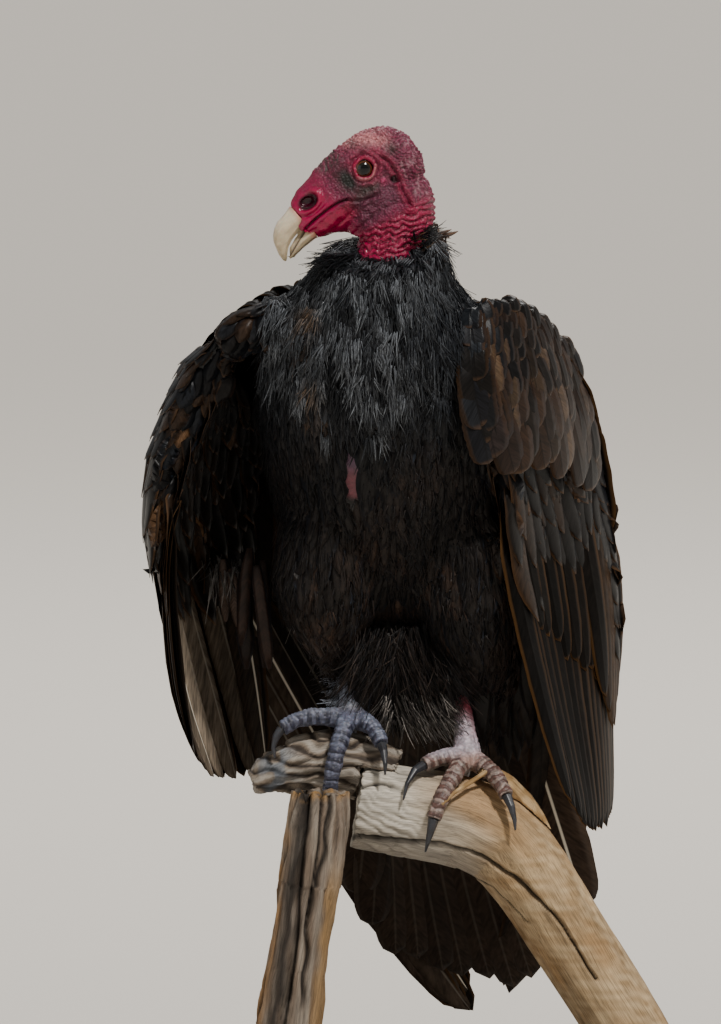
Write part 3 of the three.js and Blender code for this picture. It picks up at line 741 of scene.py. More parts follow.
# Wrinkles: creased skin on crown and nape, and thick wavy folds round the neck.
bend = 2.2 * waves(spots, 16, 21)
creases = np.sin((0.86 * u - 0.5 * v + bend) * 2 * math.pi / 4.2)
creases2 = np.sin((0.3 * u + 0.95 * v + 1.6 * waves(spots, 11, 22)) * 2 * math.pi / 3.1)
nape = rise(-9, -16, u) * (1 - 0.8 * down_neck)
furrows = -0.95 * (1 - np.abs(creases) ** 0.7) - 0.5 * (1 - np.abs(creases2) ** 0.7)
lift += nape * (furrows + 0.3 * waves(spots, 3.4, 35))
crown_lines = np.sin((0.75 * u + 0.2 * v + 0.5 * side + 1.2 * waves(spots, 9, 23)) * 2 * math.pi / 5.0)
lift += crown * (-0.8 * (1 - np.abs(crown_lines) ** 0.6) + 0.25 * waves(spots, 3.0, 36))
fold_sway = 0.9 * np.sin((back + 0.7 * w) * 0.62 + waves(spots, 14, 25))
fold_way = height - 0.1 * back + fold_sway + 0.5 * waves(spots, 8, 24)
folds = np.sin(fold_way * math.pi / 3.7)
cross_folds = np.sin((back * 0.9 + w * 0.8 + 2.0 * waves(spots, 7, 37)) * 2 * math.pi / 5.2)
lift += down_neck * (1.6 * (np.abs(folds) ** 0.8) - 1.1 + 0.35 * cross_folds)
cheek = flank_wide * rise(-7, -12, v) * rise(-30, -24, v) * rise(-8, -3, u) * rise(26, 20, u)
lift += cheek * (0.45 * waves(spots, 5.5, 26) + 0.22 * waves(spots, 2.6, 27))
lift += 0.16 * waves(spots, 2.4, 28) * (1 - rise(22, 30, u)) + 0.3 * waves(spots, 9, 29)
# The rim next to the bill stays flush with it.
lift *= rise(51.5, 48.5, u)
lift += -2.4 * rise(48.2, 50, u) * rise(-7, -8.5, v)
put(head_mesh, corners + normals * lift[:, None])

# Colours of the skin, patch by patch.

patchy = waves(spots, 12, 31)
fine = waves(spots, 3.2, 32)
pale_crown = to_line(u, v, [(-3, 18), (-12, 12.5), (-20, 8)])[0]
front = rise(20, 31, u + 0.4 * patchy)
crown_spot = bump_at(np.hypot(u + 4, v - 15), 0, 3.6) * 0.55
nape_spot = bump_at(np.hypot(u + 20, v + 0.6), 0, 3.6) * 0.7
lores_off = np.hypot((u - 12.2) * 0.95, (v - 0.5) * 0.62)
lower_lid = rise(0, -0.6, np.sin(eye_turn))
skin = dyed(
    "#720f3a",
    len(u),
    ("#85354f", (nape + crown) * (0.55 + 0.3 * patchy + 0.3 * fine)),
    # Painted shade in the nape's creases.
    ("#4d1f2b", nape * (1 - np.abs(creases) ** 0.8) * 0.8),
    ("#a98088", nape * rise(0.2, 1.2, fine + 0.4 * patchy) * 0.5),
    ("#cf8286", bump_at(pale_crown, 0, 4.6) * (0.85 + 0.25 * patchy)),
    # Painted shade in the crown's furrows.
    ("#6b2233", bump_at(pale_crown, 0, 5) * (1 - np.abs(crown_lines) ** 0.6) * 0.7),
    ("#4b3f3b", 0.75 * rise(9, 13, v) * rise(26, 18, u) * rise(4, 9, u) * (0.7 + 0.4 * fine)),
    ("#40352f", crown_spot + nape_spot),
    ("#93003e", front),
    ("#6b1f3a", front * bump_at(v, 12, 5) * 0.5 * rise(46, 34, u)),
    ("#950038", below_mouth * 0.85),
    ("#5a2038", rise(-9, -13, v) * rise(-31, -25, v) * rise(24, 16, u) * rise(-12, -4, u) * 0.85),
    ("#463a34", flank_wide * bump_at(u, 4, 13) * bump_at(v, -11, 3.2) * 0.8),
    ("#1a1713", flank_wide * bump_at(lores_off, 0, 5.8) * 1.2),
    ("#26211b", flank_wide * bump_at(np.hypot((u - 6) * 0.6, v + 9.3), 0, 3.4) * 0.8),
    ("#3b3026", flank_wide * bump_at(np.hypot((u + 7) * 0.8, v - 8.5), 0, 2.6) * 0.5),
    ("#95083a", flank_wide * bump_at(eye_off, LID + 1.2, 1.5) * 1.1),
    ("#8a2846", flank_wide * bump_at(eye_off, LID + 4.6, 1.8) * 0.75 * rise(10, 6, u)),
    ("#c98d8c", flank_wide * bump_at(eye_off, LID + 1.7, 0.7) * lower_lid * 0.6),
    ("#98063f", down_neck * 0.95),
    # Painted shade in the valleys between the neck's folds.
    ("#4a0618", down_neck * (1 - np.abs(folds)) ** 2 * 0.85),
    ("#7a3a4c", down_neck * rise(-8, -22, u) * 0.7),
    ("#a8285a", flank_wide * bump_at(wart_off, 0, 2.4) * 0.9),
    ("#8a1238", flank_wide * bump_at(cheek_off, 1.6, 1.6) * 0.6),
    # Painted shade in the gape's groove.
    ("#30080f", open_mouth * bump_at(mouth_off, 0, 0.7) * 0.9),
    # Painted shade in the ear's opening.
    ("#1f0d10", flank_wide * rise(2.6, 1.4, ear_off) * 0.9),
    # Painted shade in the nostril's hollow and hole.
    ("#3a0418", flank_wide * rise(5.2, 4.0, nostril_off) * 0.85),
    ("#22030e", rise(4.6, 3.2, nostril_off) * 0.9),
    ("#b01848", flank_wide * bump_at(nostril_off, 5.6, 1.0) * 0.5),
)
store_tint(head_mesh, skin)
lid_wet = 0.6 * flank_wide * bump_at(eye_off, LID + 1, 1.6)
store(head_mesh, "wet", np.clip(front + 0.45 * down_neck + lid_wet, 0, 1), "FLOAT")


def worked(tree, operation, *values):
    """The result of one sum."""
    return step(tree, "Math", dict(enumerate(values)), operation=operation).outputs[0]


def bare_skin(name, pores, depth):
    """Naked skin: warty where it is dry, and smooth and shiny where it is wet."""
    material, tree, surface = finish_named(name, 0.45, 0.5, Subsurface_Weight=0.1, Subsurface_Scale=0.001)
    surface.inputs["Subsurface Radius"].default_value = (1.0, 0.25, 0.2)
    tint = kept(tree, "tint", "Color")
    wet = kept(tree, "wet", "Fac")
    place = step(tree, "TexCoord").outputs["Object"]
    warts = step(tree, "TexVoronoi", {"Vector": place, "Scale": pores, "Randomness": 1.0}).outputs["Distance"]
    fine = grain(tree, place, pores * 1.3, 4, 0.6)
    dryness = between(tree, wet, 0.75, 0.15)
    colour = shaded(tree, tint, dryness, warts, (0.05, 1.3), (0.45, 0.9), (0.75, 0.55))
    colour = shaded(tree, colour, 0.8, fine, (0.3, 0.78), (0.7, 1.15))
    tree.links.new(colour, surface.inputs["Base Color"])
    rough = between(tree, wet, 0.52, 0.24)
    tree.links.new(rough, surface.inputs["Roughness"])
    mixed = worked(tree, "SUBTRACT", warts, fine)
    amount = between(tree, wet, -1.0, -0.25)
    height = worked(tree, "MULTIPLY", mixed, amount)
    raised(tree, surface, height, 0.8, depth)
    return material


head_hide = bare_skin("bare_head", 620, 0.0009)
head_skin = piece("bare_head_skin", head_mesh, head_hide, "bare_skin", "head", "neck")

# ---------------------------------------------------------------- bill
# The hooked bill is ivory horn with a worn, faintly streaked face, growing out of the red cere. Its upper
# half closes over the lower one.

FILLING_LINE = [(49, -8.6), (56, -11.8), (61.5, -14.0), (65.4, -16.8)]
FILLING_RADII = [2.4, 3.0, 2.9, 1.2]
BILL_EDGE = [(46, -7.3), (49, -8.0), (58, -11.2), (66.2, -14.8)]
closing = tube([from_head(u, v, 0.0) for u, v in FILLING_LINE], FILLING_RADII, 16)
bill_mesh = evened("bill_horn", [points_of("bill_upper"), points_of("bill_lower"), closing], 0.32, 8)
corners = places(bill_mesh)
normals = corner_normals(bill_mesh)
u, v, w = in_head(corners).T
spots = np.stack([u, v, w], 1)
edge = to_line(u, v, BILL_EDGE)[0]
gape = bump_at(edge, 0, 0.75)
put(bill_mesh, corners + normals * (0.12 * waves(spots, 7, 41) - 0.9 * gape - 0.1)[:, None])
horn = dyed(
    "#cdbb9c",
    len(u),
    ("#e4d7c0", rise(-2, 5, v) * 0.6),
    ("#a8946f", rise(60, 71, u) * 0.55 * (0.7 + 0.3 * waves(spots, 4, 42))),
    ("#8a7454", rise(-11, -16, v) * 0.45),
    # The gape between the bill's halves is painted dark brown: painted shade in the gap.
    ("#33201a", gape * 0.9),
    ("#c9836f", rise(51, 47.5, u) * 0.7),
)
store_tint(bill_mesh, horn)
store(bill_mesh, "lay", spots)


def horny(name, roughness, streaks, low, high):
    """Horn: growth streaks along it, a waxy face and fine scratches."""
    material, tree, surface = finish_named(
        name, roughness, 0.45, Subsurface_Weight=0.1, Subsurface_Scale=0.002, Coat_Weight=0.15
    )
    surface.inputs["Coat Roughness"].default_value = 0.3
    tint = kept(tree, "tint", "Color")
    lay = kept(tree, "lay", "Vector")
    lines = grain(tree, lay, streaks, 4, 0.6, stretch=(0.18, 1, 1))
    cloud = grain(tree, lay, streaks * 0.2, 3, 0.6)
    colour = shaded(tree, tint, 0.7, lines, (0.3, low), (0.7, high))
    colour = shaded(tree, colour, 0.6, cloud, (0.35, 0.85), (0.65, 1.08))
    tree.links.new(colour, surface.inputs["Base Color"])
    rough = between(tree, lines, roughness + 0.12, roughness - 0.08)
    tree.links.new(rough, surface.inputs["Roughness"])
    raised(tree, surface, lines, 0.3, 0.0002)
    return material


ivory_horn = horny("ivory_horn", 0.36, 0.9, 0.86, 1.06)
piece("ivory_bill", bill_mesh, ivory_horn, "horn", "bill_upper", "bill_lower")

# ---------------------------------------------------------------- eyes
# Each eye is a glass-clear dome over a dark grey-olive iris with a thin orange rim, set deep between the
# lids.

EYE_ASIDE = 10.3
EYE_SIZE = 8.0
DOME_RISE = 0.35
DOME_SPREAD = 0.42
IRIS = 6.5
RINGS = 40
AROUND = 64


def eyeball(name, hand):
    """A ball whose front, inside the lids, swells into the clear dome."""
    out = np.array([0.07, 0.02, hand])
    out = out / np.linalg.norm(out)
    across = np.cross(out, (0, 1.0, 0))
    across /= np.linalg.norm(across)
    upward = np.cross(across, out)
    polar = np.linspace(0.0, math.pi, RINGS)[:, None]
    turn = np.linspace(0, 2 * math.pi, AROUND, endpoint=False)[None, :]
    reach = EYE_SIZE + DOME_RISE * np.exp(-((polar / DOME_SPREAD) ** 4)) + 0 * turn
    local = (
        (np.cos(polar) * reach)[..., None] * out
        + (np.sin(polar) * np.cos(turn) * reach)[..., None] * across
        + (np.sin(polar) * np.sin(turn) * reach)[..., None] * upward
    )
    local[..., 2] += hand * EYE_ASIDE
    grid = np.arange(RINGS * AROUND).reshape(RINGS, AROUND)
    quads = np.stack([grid[:-1], grid[1:], np.roll(grid, -1, 1)[1:], np.roll(grid, -1, 1)[:-1]], -1)
    quads = quads.reshape(-1, 4)
    if hand < 0:
        quads = quads[:, ::-1]
    spots = local.reshape(-1, 3)
    mesh = mesh_from(name, from_head(spots[:, 0], spots[:, 1], spots[:, 2]), quads, 4)
    seen = (spots - np.array([0, 0, hand * EYE_ASIDE])) @ np.stack([across, upward, out], 1)
    store(mesh, "gaze", np.stack([seen[:, 0], seen[:, 1], seen[:, 2] / EYE_SIZE], 1))
    return mesh


def speckle(tree, vector, scale, detail):
    """Plain fine noise."""
    return step(tree, "TexNoise", {"Vector": vector, "Scale": scale, "Detail": detail}).outputs["Fac"]


def eye_glass():
    """Glass over an iris: a dark pupil, a grey-olive ring with fine rays, and a thin orange rim."""
    material, tree, surface = finish_named("eye_glass", 0.05, 0.3, Coat_Weight=0.25, Coat_Roughness=0.02)
    gaze = kept(tree, "gaze", "Vector")
    split = step(tree, "SeparateXYZ", {"Vector": gaze})
    flat = step(tree, "CombineXYZ", {"X": split.outputs[0], "Y": split.outputs[1]}).outputs[0]
    radius = step(tree, "VectorMath", {0: flat}, operation="LENGTH").outputs["Value"]
    turn = worked(tree, "ARCTAN2", split.outputs[0], split.outputs[1])
    rays = speckle(tree, flat, 3.0, 4.0)
    spokes = step(tree, "CombineXYZ", {"X": turn, "Y": 0.0}).outputs[0]
    streaks = speckle(tree, spokes, 9.0, 2.0)
    iris = shades(
        tree,
        between(tree, radius, 0.0, 1.0, 0.0, IRIS),
        (0.0, "#020202"),
        (0.38, "#030303"),
        (0.43, "#231f17"),
        (0.56, "#14130f"),
        (0.66, "#5a2d12"),
        (0.76, "#120605"),
    )
    colour = shaded(tree, iris, 0.6, streaks, (0.3, 0.6), (0.7, 1.35))
    colour = shaded(tree, colour, 0.4, rays, (0.3, 0.7), (0.7, 1.2))
    tree.links.new(colour, surface.inputs["Base Color"])
    return material


glass = eye_glass()
for name, hand, node in (("left_eye", 1, "eye_left"), ("right_eye", -1, "eye_right")):
    piece(name, eyeball(name, hand), glass, "eyes", node)

# ---------------------------------------------------------------- skin of the body
# Under the plumage one dark skin runs over breast, back, thighs and both wing arms. It lies inside the
# plumage by the depth of the feathers, and shows only where they part over the keel.

COAT = 4.2
ARM_COAT = 1.0
FLESH = ("trunk", "thigh_left", "thigh_right", "wing_left_arm", "wing_right_arm")


def surface_over(*nodes):
    """A lookup of the nearest place on some solids."""
    corners, faces = joined([points_of(node) for node in nodes])
    return BVHTree.FromPolygons(corners.tolist(), faces.tolist())


def nearest_on(tree, spots):
    """The nearest place, its normal, its face and the distance, for each of some spots."""
    found = [tree.find_nearest(s) for s in spots.tolist()]
    place = np.array([f[0] for f in found])
    normal = np.array([f[1] for f in found])
    return place, normal, np.array([f[2] for f in found]), np.array([f[3] for f in found])


body_mesh = evened("body_skin", [points_of(node) for node in FLESH], 2.6, 12)
corners = places(body_mesh)
normals = corner_normals(body_mesh)
arm_surface = surface_over("wing_left_arm", "wing_right_arm")
arm_share = rise(7, 1, nearest_on(arm_surface, corners)[3])
depth = COAT + (ARM_COAT - COAT) * arm_share
depth *= rise(575, 552, corners[:, 2]) * 0.8 + 0.2
corners = corners - normals * depth[:, None]
# The bare neck shows lower in front than at the nape, so that the skin's top slopes down forwards.
COLLAR = np.array([0.0, -78.0, 534.0])
COLLAR_UP = np.array([-0.10, -0.36, 0.93])
over_collar = np.clip((corners - COLLAR) @ COLLAR_UP, 0, None)
put(body_mesh, corners - over_collar[:, None] * COLLAR_UP)

KEEL_LINE = [(-22, 433), (-21, 418), (-22, 405)]
# Stains on the breast: where across it, how high and how wide.
BREAST_STAINS = [(-48, 508, 6), (-46, 466, 5)]


def coat_colour(spots):
    """The colours of skin and coat at places on the body, from where on the bird they lie."""
    x, y, z = spots.T
    cloud = waves(spots, 60, 51)
    flecks = waves(spots, 14, 52)
    base = dyed(
        "#140f0c",
        len(x),
        ("#0d0d0f", rise(380, 470, z) * 0.8),
    )
    front = rise(30, -10, y)
    bib = front * rise(446, 472, z) * rise(548, 530, z) * rise(56, 38, np.abs(x + 14))
    base = coated(
        base,
        ("#2d2f33", bib * np.clip(0.55 + 0.35 * flecks, 0, 1)),
        ("#14181e", rise(480, 530, z) * rise(0, 30, x) * 0.7),
        ("#2c1f16", np.clip(cloud, 0, 1) * 0.5 * rise(470, 400, z)),
        ("#33241a", np.clip(waves(spots, 22, 53) - 0.4, 0, 1) * rise(420, 340, z) * 0.8),
    )
    for at_x, at_z, size in BREAST_STAINS:
        base = coated(
            base,
            ("#5a4532", bump_at(np.hypot(x - at_x, z - at_z), 0, size) * 0.6 * front),
            ("#6b4a30", bump_at(np.hypot(x - 30, (z - 562) * 0.7), 0, 8) * 0.8),
            ("#2a2119", rise(40, 90, y) * 0.6),
        )
    return base


def keel_gap(spots):
    """How much the feathers part over the bare keel, from 0 to 1."""
    off = to_line(spots[:, 0], spots[:, 2], KEEL_LINE)[0]
    return rise(9.2, 5.2, off) * rise(20, -10, spots[:, 1])


corners = places(body_mesh)
# The skin takes the coat's colours, darkened to 0.6: painted shade under the feathers.
tint = coat_colour(corners) * 0.6
keel = keel_gap(corners)[:, None]
keel_skin = dyed("#54354c", len(corners), ("#69303a", rise(420, 410, corners[:, 2])))
tint = tint * (1 - keel) + keel_skin * keel
store_tint(body_mesh, tint)
store(body_mesh, "wet", keel[:, 0] * 0.3, "FLOAT")
body_skin = piece("body_skin", body_mesh, bare_skin("body_hide", 240, 0.0008), "plumage", *FLESH)
for skin in (head_skin, body_skin):
    bpy.context.view_layer.objects.active = skin
    skin.select_set(True)
    bpy.ops.object.mode_set(mode="EDIT")
    bpy.ops.mesh.select_all(action="SELECT")
    bpy.ops.uv.smart_project(angle_limit=math.radians(66), island_margin=0.002)
    bpy.ops.object.mode_set(mode="OBJECT")
    skin.select_set(False)
    skin.data.uv_layers.active.name = "OFBake"

# ---------------------------------------------------------------- contour feathers
# Small feathers cover the body in overlapping rows from the ruff to the thighs. Each is a thin cambered vane,
# and its free barbs fray at the tip, most of all on breast, belly and thighs.

# The skin's places and its unwrap, which every feather is rooted on.
body_spots = places(body_mesh)
sides = np.empty(len(body_mesh.loops), dtype=np.int64)
body_mesh.loops.foreach_get("vertex_index", sides)
face_sides = sides.reshape(-1, 4)
unwrap = np.empty(len(body_mesh.loops) * 2)
body_mesh.uv_layers["OFBake"].data.foreach_get("uv", unwrap)
face_unwrap = unwrap.reshape(-1, 4, 2).mean(1)
body_surface = BVHTree.FromPolygons(body_spots.tolist(), face_sides.tolist())
body_triangles = np.concatenate([face_sides[:, [0, 1, 2]], face_sides[:, [0, 2, 3]]])


def unit(v):
    """Vectors made one long."""
    return v / np.maximum(np.linalg.norm(v, axis=-1, keepdims=True), 1e-9)


def scattered(keep, space_at, tries, seed):
    """Places scattered over the body skin where keep allows, no two closer than space_at says."""
    draw = np.random.default_rng(seed)
    a, b, c = (body_spots[body_triangles[:, k]] for k in (0, 1, 2))
    size = np.linalg.norm(np.cross(b - a, c - a), axis=1) * keep((a + b + c) / 3)
    pick = draw.choice(len(body_triangles), tries, p=size / size.sum())
    s, t = draw.random((2, tries, 1))
    flip = s + t > 1
    s, t = np.where(flip, 1 - s, s), np.where(flip, 1 - t, t)
    spots = a[pick] + s * (b - a)[pick] + t * (c - a)[pick]
    space = space_at(spots)
    cell = space.max()
    taken, grid = [], {}
    for i, (spot, gap) in enumerate(zip(spots.tolist(), space.tolist())):
        key = tuple(int(k // cell) for k in spot)
        crowd = False
        for dx in (-1, 0, 1):
            for dy in (-1, 0, 1):
                for dz in (-1, 0, 1):
                    for other in grid.get((key[0] + dx, key[1] + dy, key[2] + dz), ()):
                        away = sum((p - q) ** 2 for p, q in zip(spot, other))
                        if away < gap * gap:
                            crowd = True
                            break
        if not crowd:
            grid.setdefault(key, []).append(spot)
            taken.append(i)
    return spots[taken]


def laid(roots, headings, lengths, stations, hug=0.8, surface=body_surface):
    """Lines that start at roots and follow headings over a surface; returns their points and normals."""
    spot = roots.copy()
    line, faced = [], []
    for k in range(stations):
        place, normal, _, _ = nearest_on(surface, spot)
        over_it = ((spot - place) * normal).sum(1)
        if k == 0:
            spot = place
        else:
            normal = unit(0.5 * normal + 0.5 * faced[-1])
            spot = spot - normal * np.where(over_it > 0, over_it * hug, over_it - 0.05)[:, None]
        line.append(spot.copy())
        faced.append(normal)
        along = unit(headings - normal * (headings * normal).sum(1)[:, None])
        spot = spot + along * (lengths / (stations - 1))[:, None]
    return np.stack(line, 1), np.stack(faced, 1)


SHAFT_SPREAD = 0.08


def vanes(line, up, half, across, camber, thick, tint, dress, shaft=0.0):
    """Closed thin vanes. line and up are (count, stations, 3), half is (count, stations), across the columns
    from -1 to 1, dress (count, 3): edge colour, width over length, shaft colour."""
    count, stations, _ = line.shape
    across = np.asarray(across, float)
    columns = len(across)
    forward = unit(np.gradient(line, axis=1))
    sideways = unit(np.cross(forward, up))
    up = unit(np.cross(sideways, forward))
    x = half[..., None] * across
    quill = shaft * bump_at(across, 0, SHAFT_SPREAD) * np.linspace(1, 0.25, stations)[None, :, None]
    fall = -camber * half[..., None] * across**2 + quill
    top = line[:, :, None] + sideways[:, :, None] * x[..., None] + up[:, :, None] * fall[..., None]
    thinned = 0.8 if columns > 2 else 0
    bottom = top - up[:, :, None] * (thick * (1 - thinned * across[:, None] ** 2))
    below = bottom.mean(2, keepdims=True) if columns == 2 else bottom[:, :, -2:0:-1]
    ring = np.concatenate([top, below], 2)
    around = ring.shape[2]
    corners = ring.reshape(-1, 3)
    one = np.arange(stations * around).reshape(stations, around)
    a, b = one[:-1], one[1:]
    quads = np.stack([a, b, np.roll(b, -1, 1), np.roll(a, -1, 1)], -1).reshape(-1, 4)
    tris = [quads[:, [0, 1, 2]], quads[:, [0, 2, 3]]]
    for end, turn in ((0, 1), (stations - 1, -1)):
        t = one[end]
        low = [t[0], *t[: columns - 1 : -1], t[columns - 1]]
        for j in range(columns - 1):
            for tri in ((t[j], t[j + 1], low[j + 1]), (t[j], low[j + 1], low[j])):
                if len(set(tri)) == 3:
                    tris.append(np.array([tri[::turn]]))
    one_faces = np.concatenate(tris)
    faces = (one_faces[None] + (np.arange(count) * stations * around)[:, None, None]).reshape(-1, 3)
    column = np.concatenate([across, [0.0] if columns == 2 else across[-2:0:-1]])
    share = np.broadcast_to(np.linspace(0, 1, stations)[None, :, None], (count, stations, around))
    column = np.broadcast_to(column[None, None, :], share.shape)
    luck = np.broadcast_to(np.random.default_rng(count).random(count)[:, None, None], share.shape)
    vane = np.stack([column, share, luck], -1).reshape(-1, 3)
    each = stations * around
    return {
        "corners": corners,
        "faces": faces,
        "vane": vane,
        "tint": np.repeat(tint, each, 0),
        "dress": np.repeat(dress, each, 0),
        "root": np.repeat(line[:, 0], each, 0),
    }


def feather_finish(name, roughness, rim, shaft_code, sheen_code, barb_scale, sheen=0.1, gloss=0.2):
    """Feather: fine slanted barbs either side of the shaft, paler worn edges and a faint bluish sheen."""
    material, tree, surface = finish_named(name, roughness, gloss, Sheen_Weight=sheen, Sheen_Roughness=0.45)
    surface.inputs["Sheen Tint"].default_value = paint(sheen_code)
    tint = kept(tree, "tint", "Color")
    vane = step(tree, "SeparateXYZ", {"Vector": kept(tree, "vane", "Vector")})
    dress = step(tree, "SeparateXYZ", {"Vector": kept(tree, "dress", "Vector")})
    column, share, luck = vane.outputs
    edging, slim, barbs = dress.outputs
    out = worked(tree, "ABSOLUTE", column)
    # Barbs leave the shaft at a slant, so that they are lines of share plus a part of the way out.
    slant = worked(tree, "MULTIPLY", out, slim)
    slant = worked(tree, "SUBTRACT", share, slant)
    depth = worked(tree, "MULTIPLY", out, 0.04)
    lines = step(tree, "CombineXYZ", {"X": slant, "Y": luck, "Z": depth}).outputs[0]
    fine = speckle(tree, lines, barb_scale, 3.0)
    coarse = speckle(tree, lines, barb_scale * 0.22, 2.0)
    colour = shaded(tree, tint, 1.0, fine, (0.3, 0.55), (0.7, 1.6))
    colour = shaded(tree, colour, 0.6, coarse, (0.35, 0.6), (0.65, 1.4))
    aged = between(tree, luck, 0.75, 1.35)
    aged = step(tree, "CombineXYZ", {"X": aged, "Y": aged, "Z": aged}).outputs[0]
    colour = blend_colour(tree, 1.0, colour, aged, "MULTIPLY")
    tip = worked(tree, "SUBTRACT", 1.0, share)
    tip = worked(tree, "DIVIDE", tip, slim)
    tip = between(tree, tip, 1.0, 0.0, 0.0, 0.35)
    side = between(tree, out, 0.0, 1.0, 0.72, 1.0)
    border = worked(tree, "MAXIMUM", tip, side)
    border = worked(tree, "MULTIPLY", border, edging)
    colour = blend_colour(tree, border, colour, paint(rim))
    if shaft_code:
        quill = between(tree, out, 1.0, 0.0, 0.03, 0.075)
        quill = worked(tree, "MULTIPLY", quill, barbs)
        colour = blend_colour(tree, quill, colour, paint(shaft_code))
    tree.links.new(colour, surface.inputs["Base Color"])
    raised(tree, surface, fine, 0.35, 0.0003)
    return material


PATCH = 0.003


def coat_piece(name, groups, material, slot, *replaced):
    """Joins groups of vanes into one piece, each feather with its own patch of the skin's unwrap."""
    count = np.cumsum([0] + [len(g["corners"]) for g in groups])
    whole = {k: np.concatenate([g[k] for g in groups]) for k in ("corners", "vane", "tint", "dress", "root")}
    faces = np.concatenate([g["faces"] + k for g, k in zip(groups, count)])
    mesh = mesh_from(name, whole["corners"], faces)
    store(mesh, "vane", whole["vane"])
    store(mesh, "dress", whole["dress"])
    store_tint(mesh, whole["tint"])
    roots, back = np.unique(np.round(whole["root"], 3), axis=0, return_inverse=True)
    centre = face_unwrap[nearest_on(body_surface, roots)[2]][back.reshape(-1)]
    spread = np.stack([whole["vane"][:, 0] * 0.5, whole["vane"][:, 1] - 0.5], 1) * PATCH
    flat = (centre + spread)[faces.ravel()]
    mesh.uv_layers.new(name="OFBake").data.foreach_set("uv", flat.astype(np.float32).ravel())
    return piece(name, mesh, material, slot, *replaced)


def lie(spots):
    """Which way the feathers run: down the body, back over the shoulders and out from the neck."""
    x, y, z = spots.T
    heading = np.stack([0.0016 * x, 0.12 + 0.5 * rise(10, 60, y), -np.ones(len(x))], 1)
    from_neck = np.stack([x - 5, y + 45, np.zeros(len(x))], 1)
    return unit(heading + 0.9 * unit(from_neck) * rise(540, 560, z)[:, None])


def turned(headings, normals, angle):
    """Headings turned about the normals by angle."""
    c, s = np.cos(angle)[:, None], np.sin(angle)[:, None]
    return headings * c + np.cross(normals, headings) * s


HEIGHTS = [250, 330, 420, 490, 525, 548, 570]
LENGTHS = [34, 33, 31, 28, 22, 14, 10]
HALVES = [5.0, 5.6, 6.2, 5.4, 4.2, 3.0, 2.2]


def body_space(spots):
    return np.interp(spots[:, 2], HEIGHTS, HALVES) * (0.95 + 0.35 * rise(30, 70, spots[:, 1]))


def off_the_arms(spots):
    return rise(2.0, 6.0, nearest_on(arm_surface, spots)[3]) * rise(-1, 1, spots[:, 2] - 200)


roots = scattered(off_the_arms, body_space, 26000, 61)
roots = roots[(keel_gap(roots) < 0.5) & (keel_gap(roots - np.array([0, 0, 15.0])) < 0.5)]
_, facing, _, _ = nearest_on(body_surface, roots)
draw = np.random.default_rng(62)
headings = turned(lie(roots), facing, draw.normal(0, 0.12, len(roots)))
behind = rise(30, 70, roots[:, 1])
lengths = np.interp(roots[:, 2], HEIGHTS, LENGTHS) * draw.uniform(0.85, 1.2, len(roots)) * (1 + 0.25 * behind)
# The hem of belly and thighs hangs free, and is cut short where the bare legs leave it.
hem = rise(340, 305, roots[:, 2]) * (1 - behind)
leg = np.minimum(
    np.hypot(roots[:, 0] - 45, roots[:, 1] - 25) + 3 * rise(300, 310, roots[:, 2]) * 20,
    np.hypot(roots[:, 0] + 25, roots[:, 1] - 28) + 3 * rise(320, 330, roots[:, 2]) * 20,
)
lengths *= 1 + 0.45 * hem * rise(18, 34, leg) - 0.35 * rise(300, 280, roots[:, 2]) * rise(30, 12, leg)
STATIONS = 7
lines, ups = laid(roots, headings, lengths, STATIONS, 0.75 - 0.6 * hem)
share = np.linspace(0, 1, STATIONS)
lift = 0.2 + (1.4 + draw.uniform(0, 1.4, len(roots)))[:, None] * share[None, :] ** 1.3
lines = lines + ups * lift[..., None]
halves = np.interp(roots[:, 2], HEIGHTS, HALVES) * draw.uniform(0.85, 1.15, len(roots)) * (1 + 0.35 * behind)
SHAPE = np.array([0.3, 0.72, 0.98, 1.0, 0.88, 0.58, 0.08])
colours = coat_colour(roots) * draw.uniform(0.75, 1.25, (len(roots), 1))
edging = 0.3 * behind + 0.12 + 0.35 * (draw.random(len(roots)) < 0.12)
dress = np.stack([edging, halves / lengths, np.full(len(roots), 0.3)], 1)
contour = vanes(lines, ups, halves[:, None] * SHAPE, [-1, 0, 1], 0.22, 0.35, colours, dress)

# Free barbs past each tip: slim blades that start halfway down the vane and fan out a little.
frayed = np.flatnonzero((behind < 0.6) & (roots[:, 2] < 552))
BARBS = 5
owner = np.repeat(frayed, BARBS)
blade = np.tile(np.linspace(-1, 1, BARBS), len(frayed)) + draw.normal(0, 0.18, len(owner))
mid = lines[owner, 3] + (lines[owner, 5] - lines[owner, 3]) * draw.random((len(owner), 1))
run = unit(lines[owner, 6] - lines[owner, 3])
cross = unit(np.cross(run, ups[owner, 4]))
start = mid + cross * (blade * halves[owner] * 0.75)[:, None] + ups[owner, 4] * 0.2
way = unit(run + cross * (blade * 0.2 + draw.normal(0, 0.05, len(owner)))[:, None])
hairy = 0.3 + 0.3 * rise(330, 270, roots[owner, 2]) + 0.15 * rise(440, 480, roots[owner, 2])
reach = lengths[owner] * hairy * draw.uniform(0.75, 1.25, len(owner))
sag = np.array([0.0, 0.35, 0.7, 1.0])
strands = start[:, None] + way[:, None] * (reach[:, None] * sag)[..., None]
strands = strands + ups[owner, 5][:, None] * (draw.normal(0.1, 0.3, len(owner))[:, None] * sag**2)[..., None]
strand_up = np.repeat(ups[owner, 4][:, None], 4, 1)
strand_half = (draw.uniform(0.25, 0.5, len(owner)))[:, None] * np.array([0.9, 1.0, 0.7, 0.05])
strand_tint = np.clip(colours[owner] * draw.uniform(0.75, 1.35, (len(owner), 1)), 0, 1)
plain = np.tile([0.0, 0.1, 0.0], (len(owner), 1))
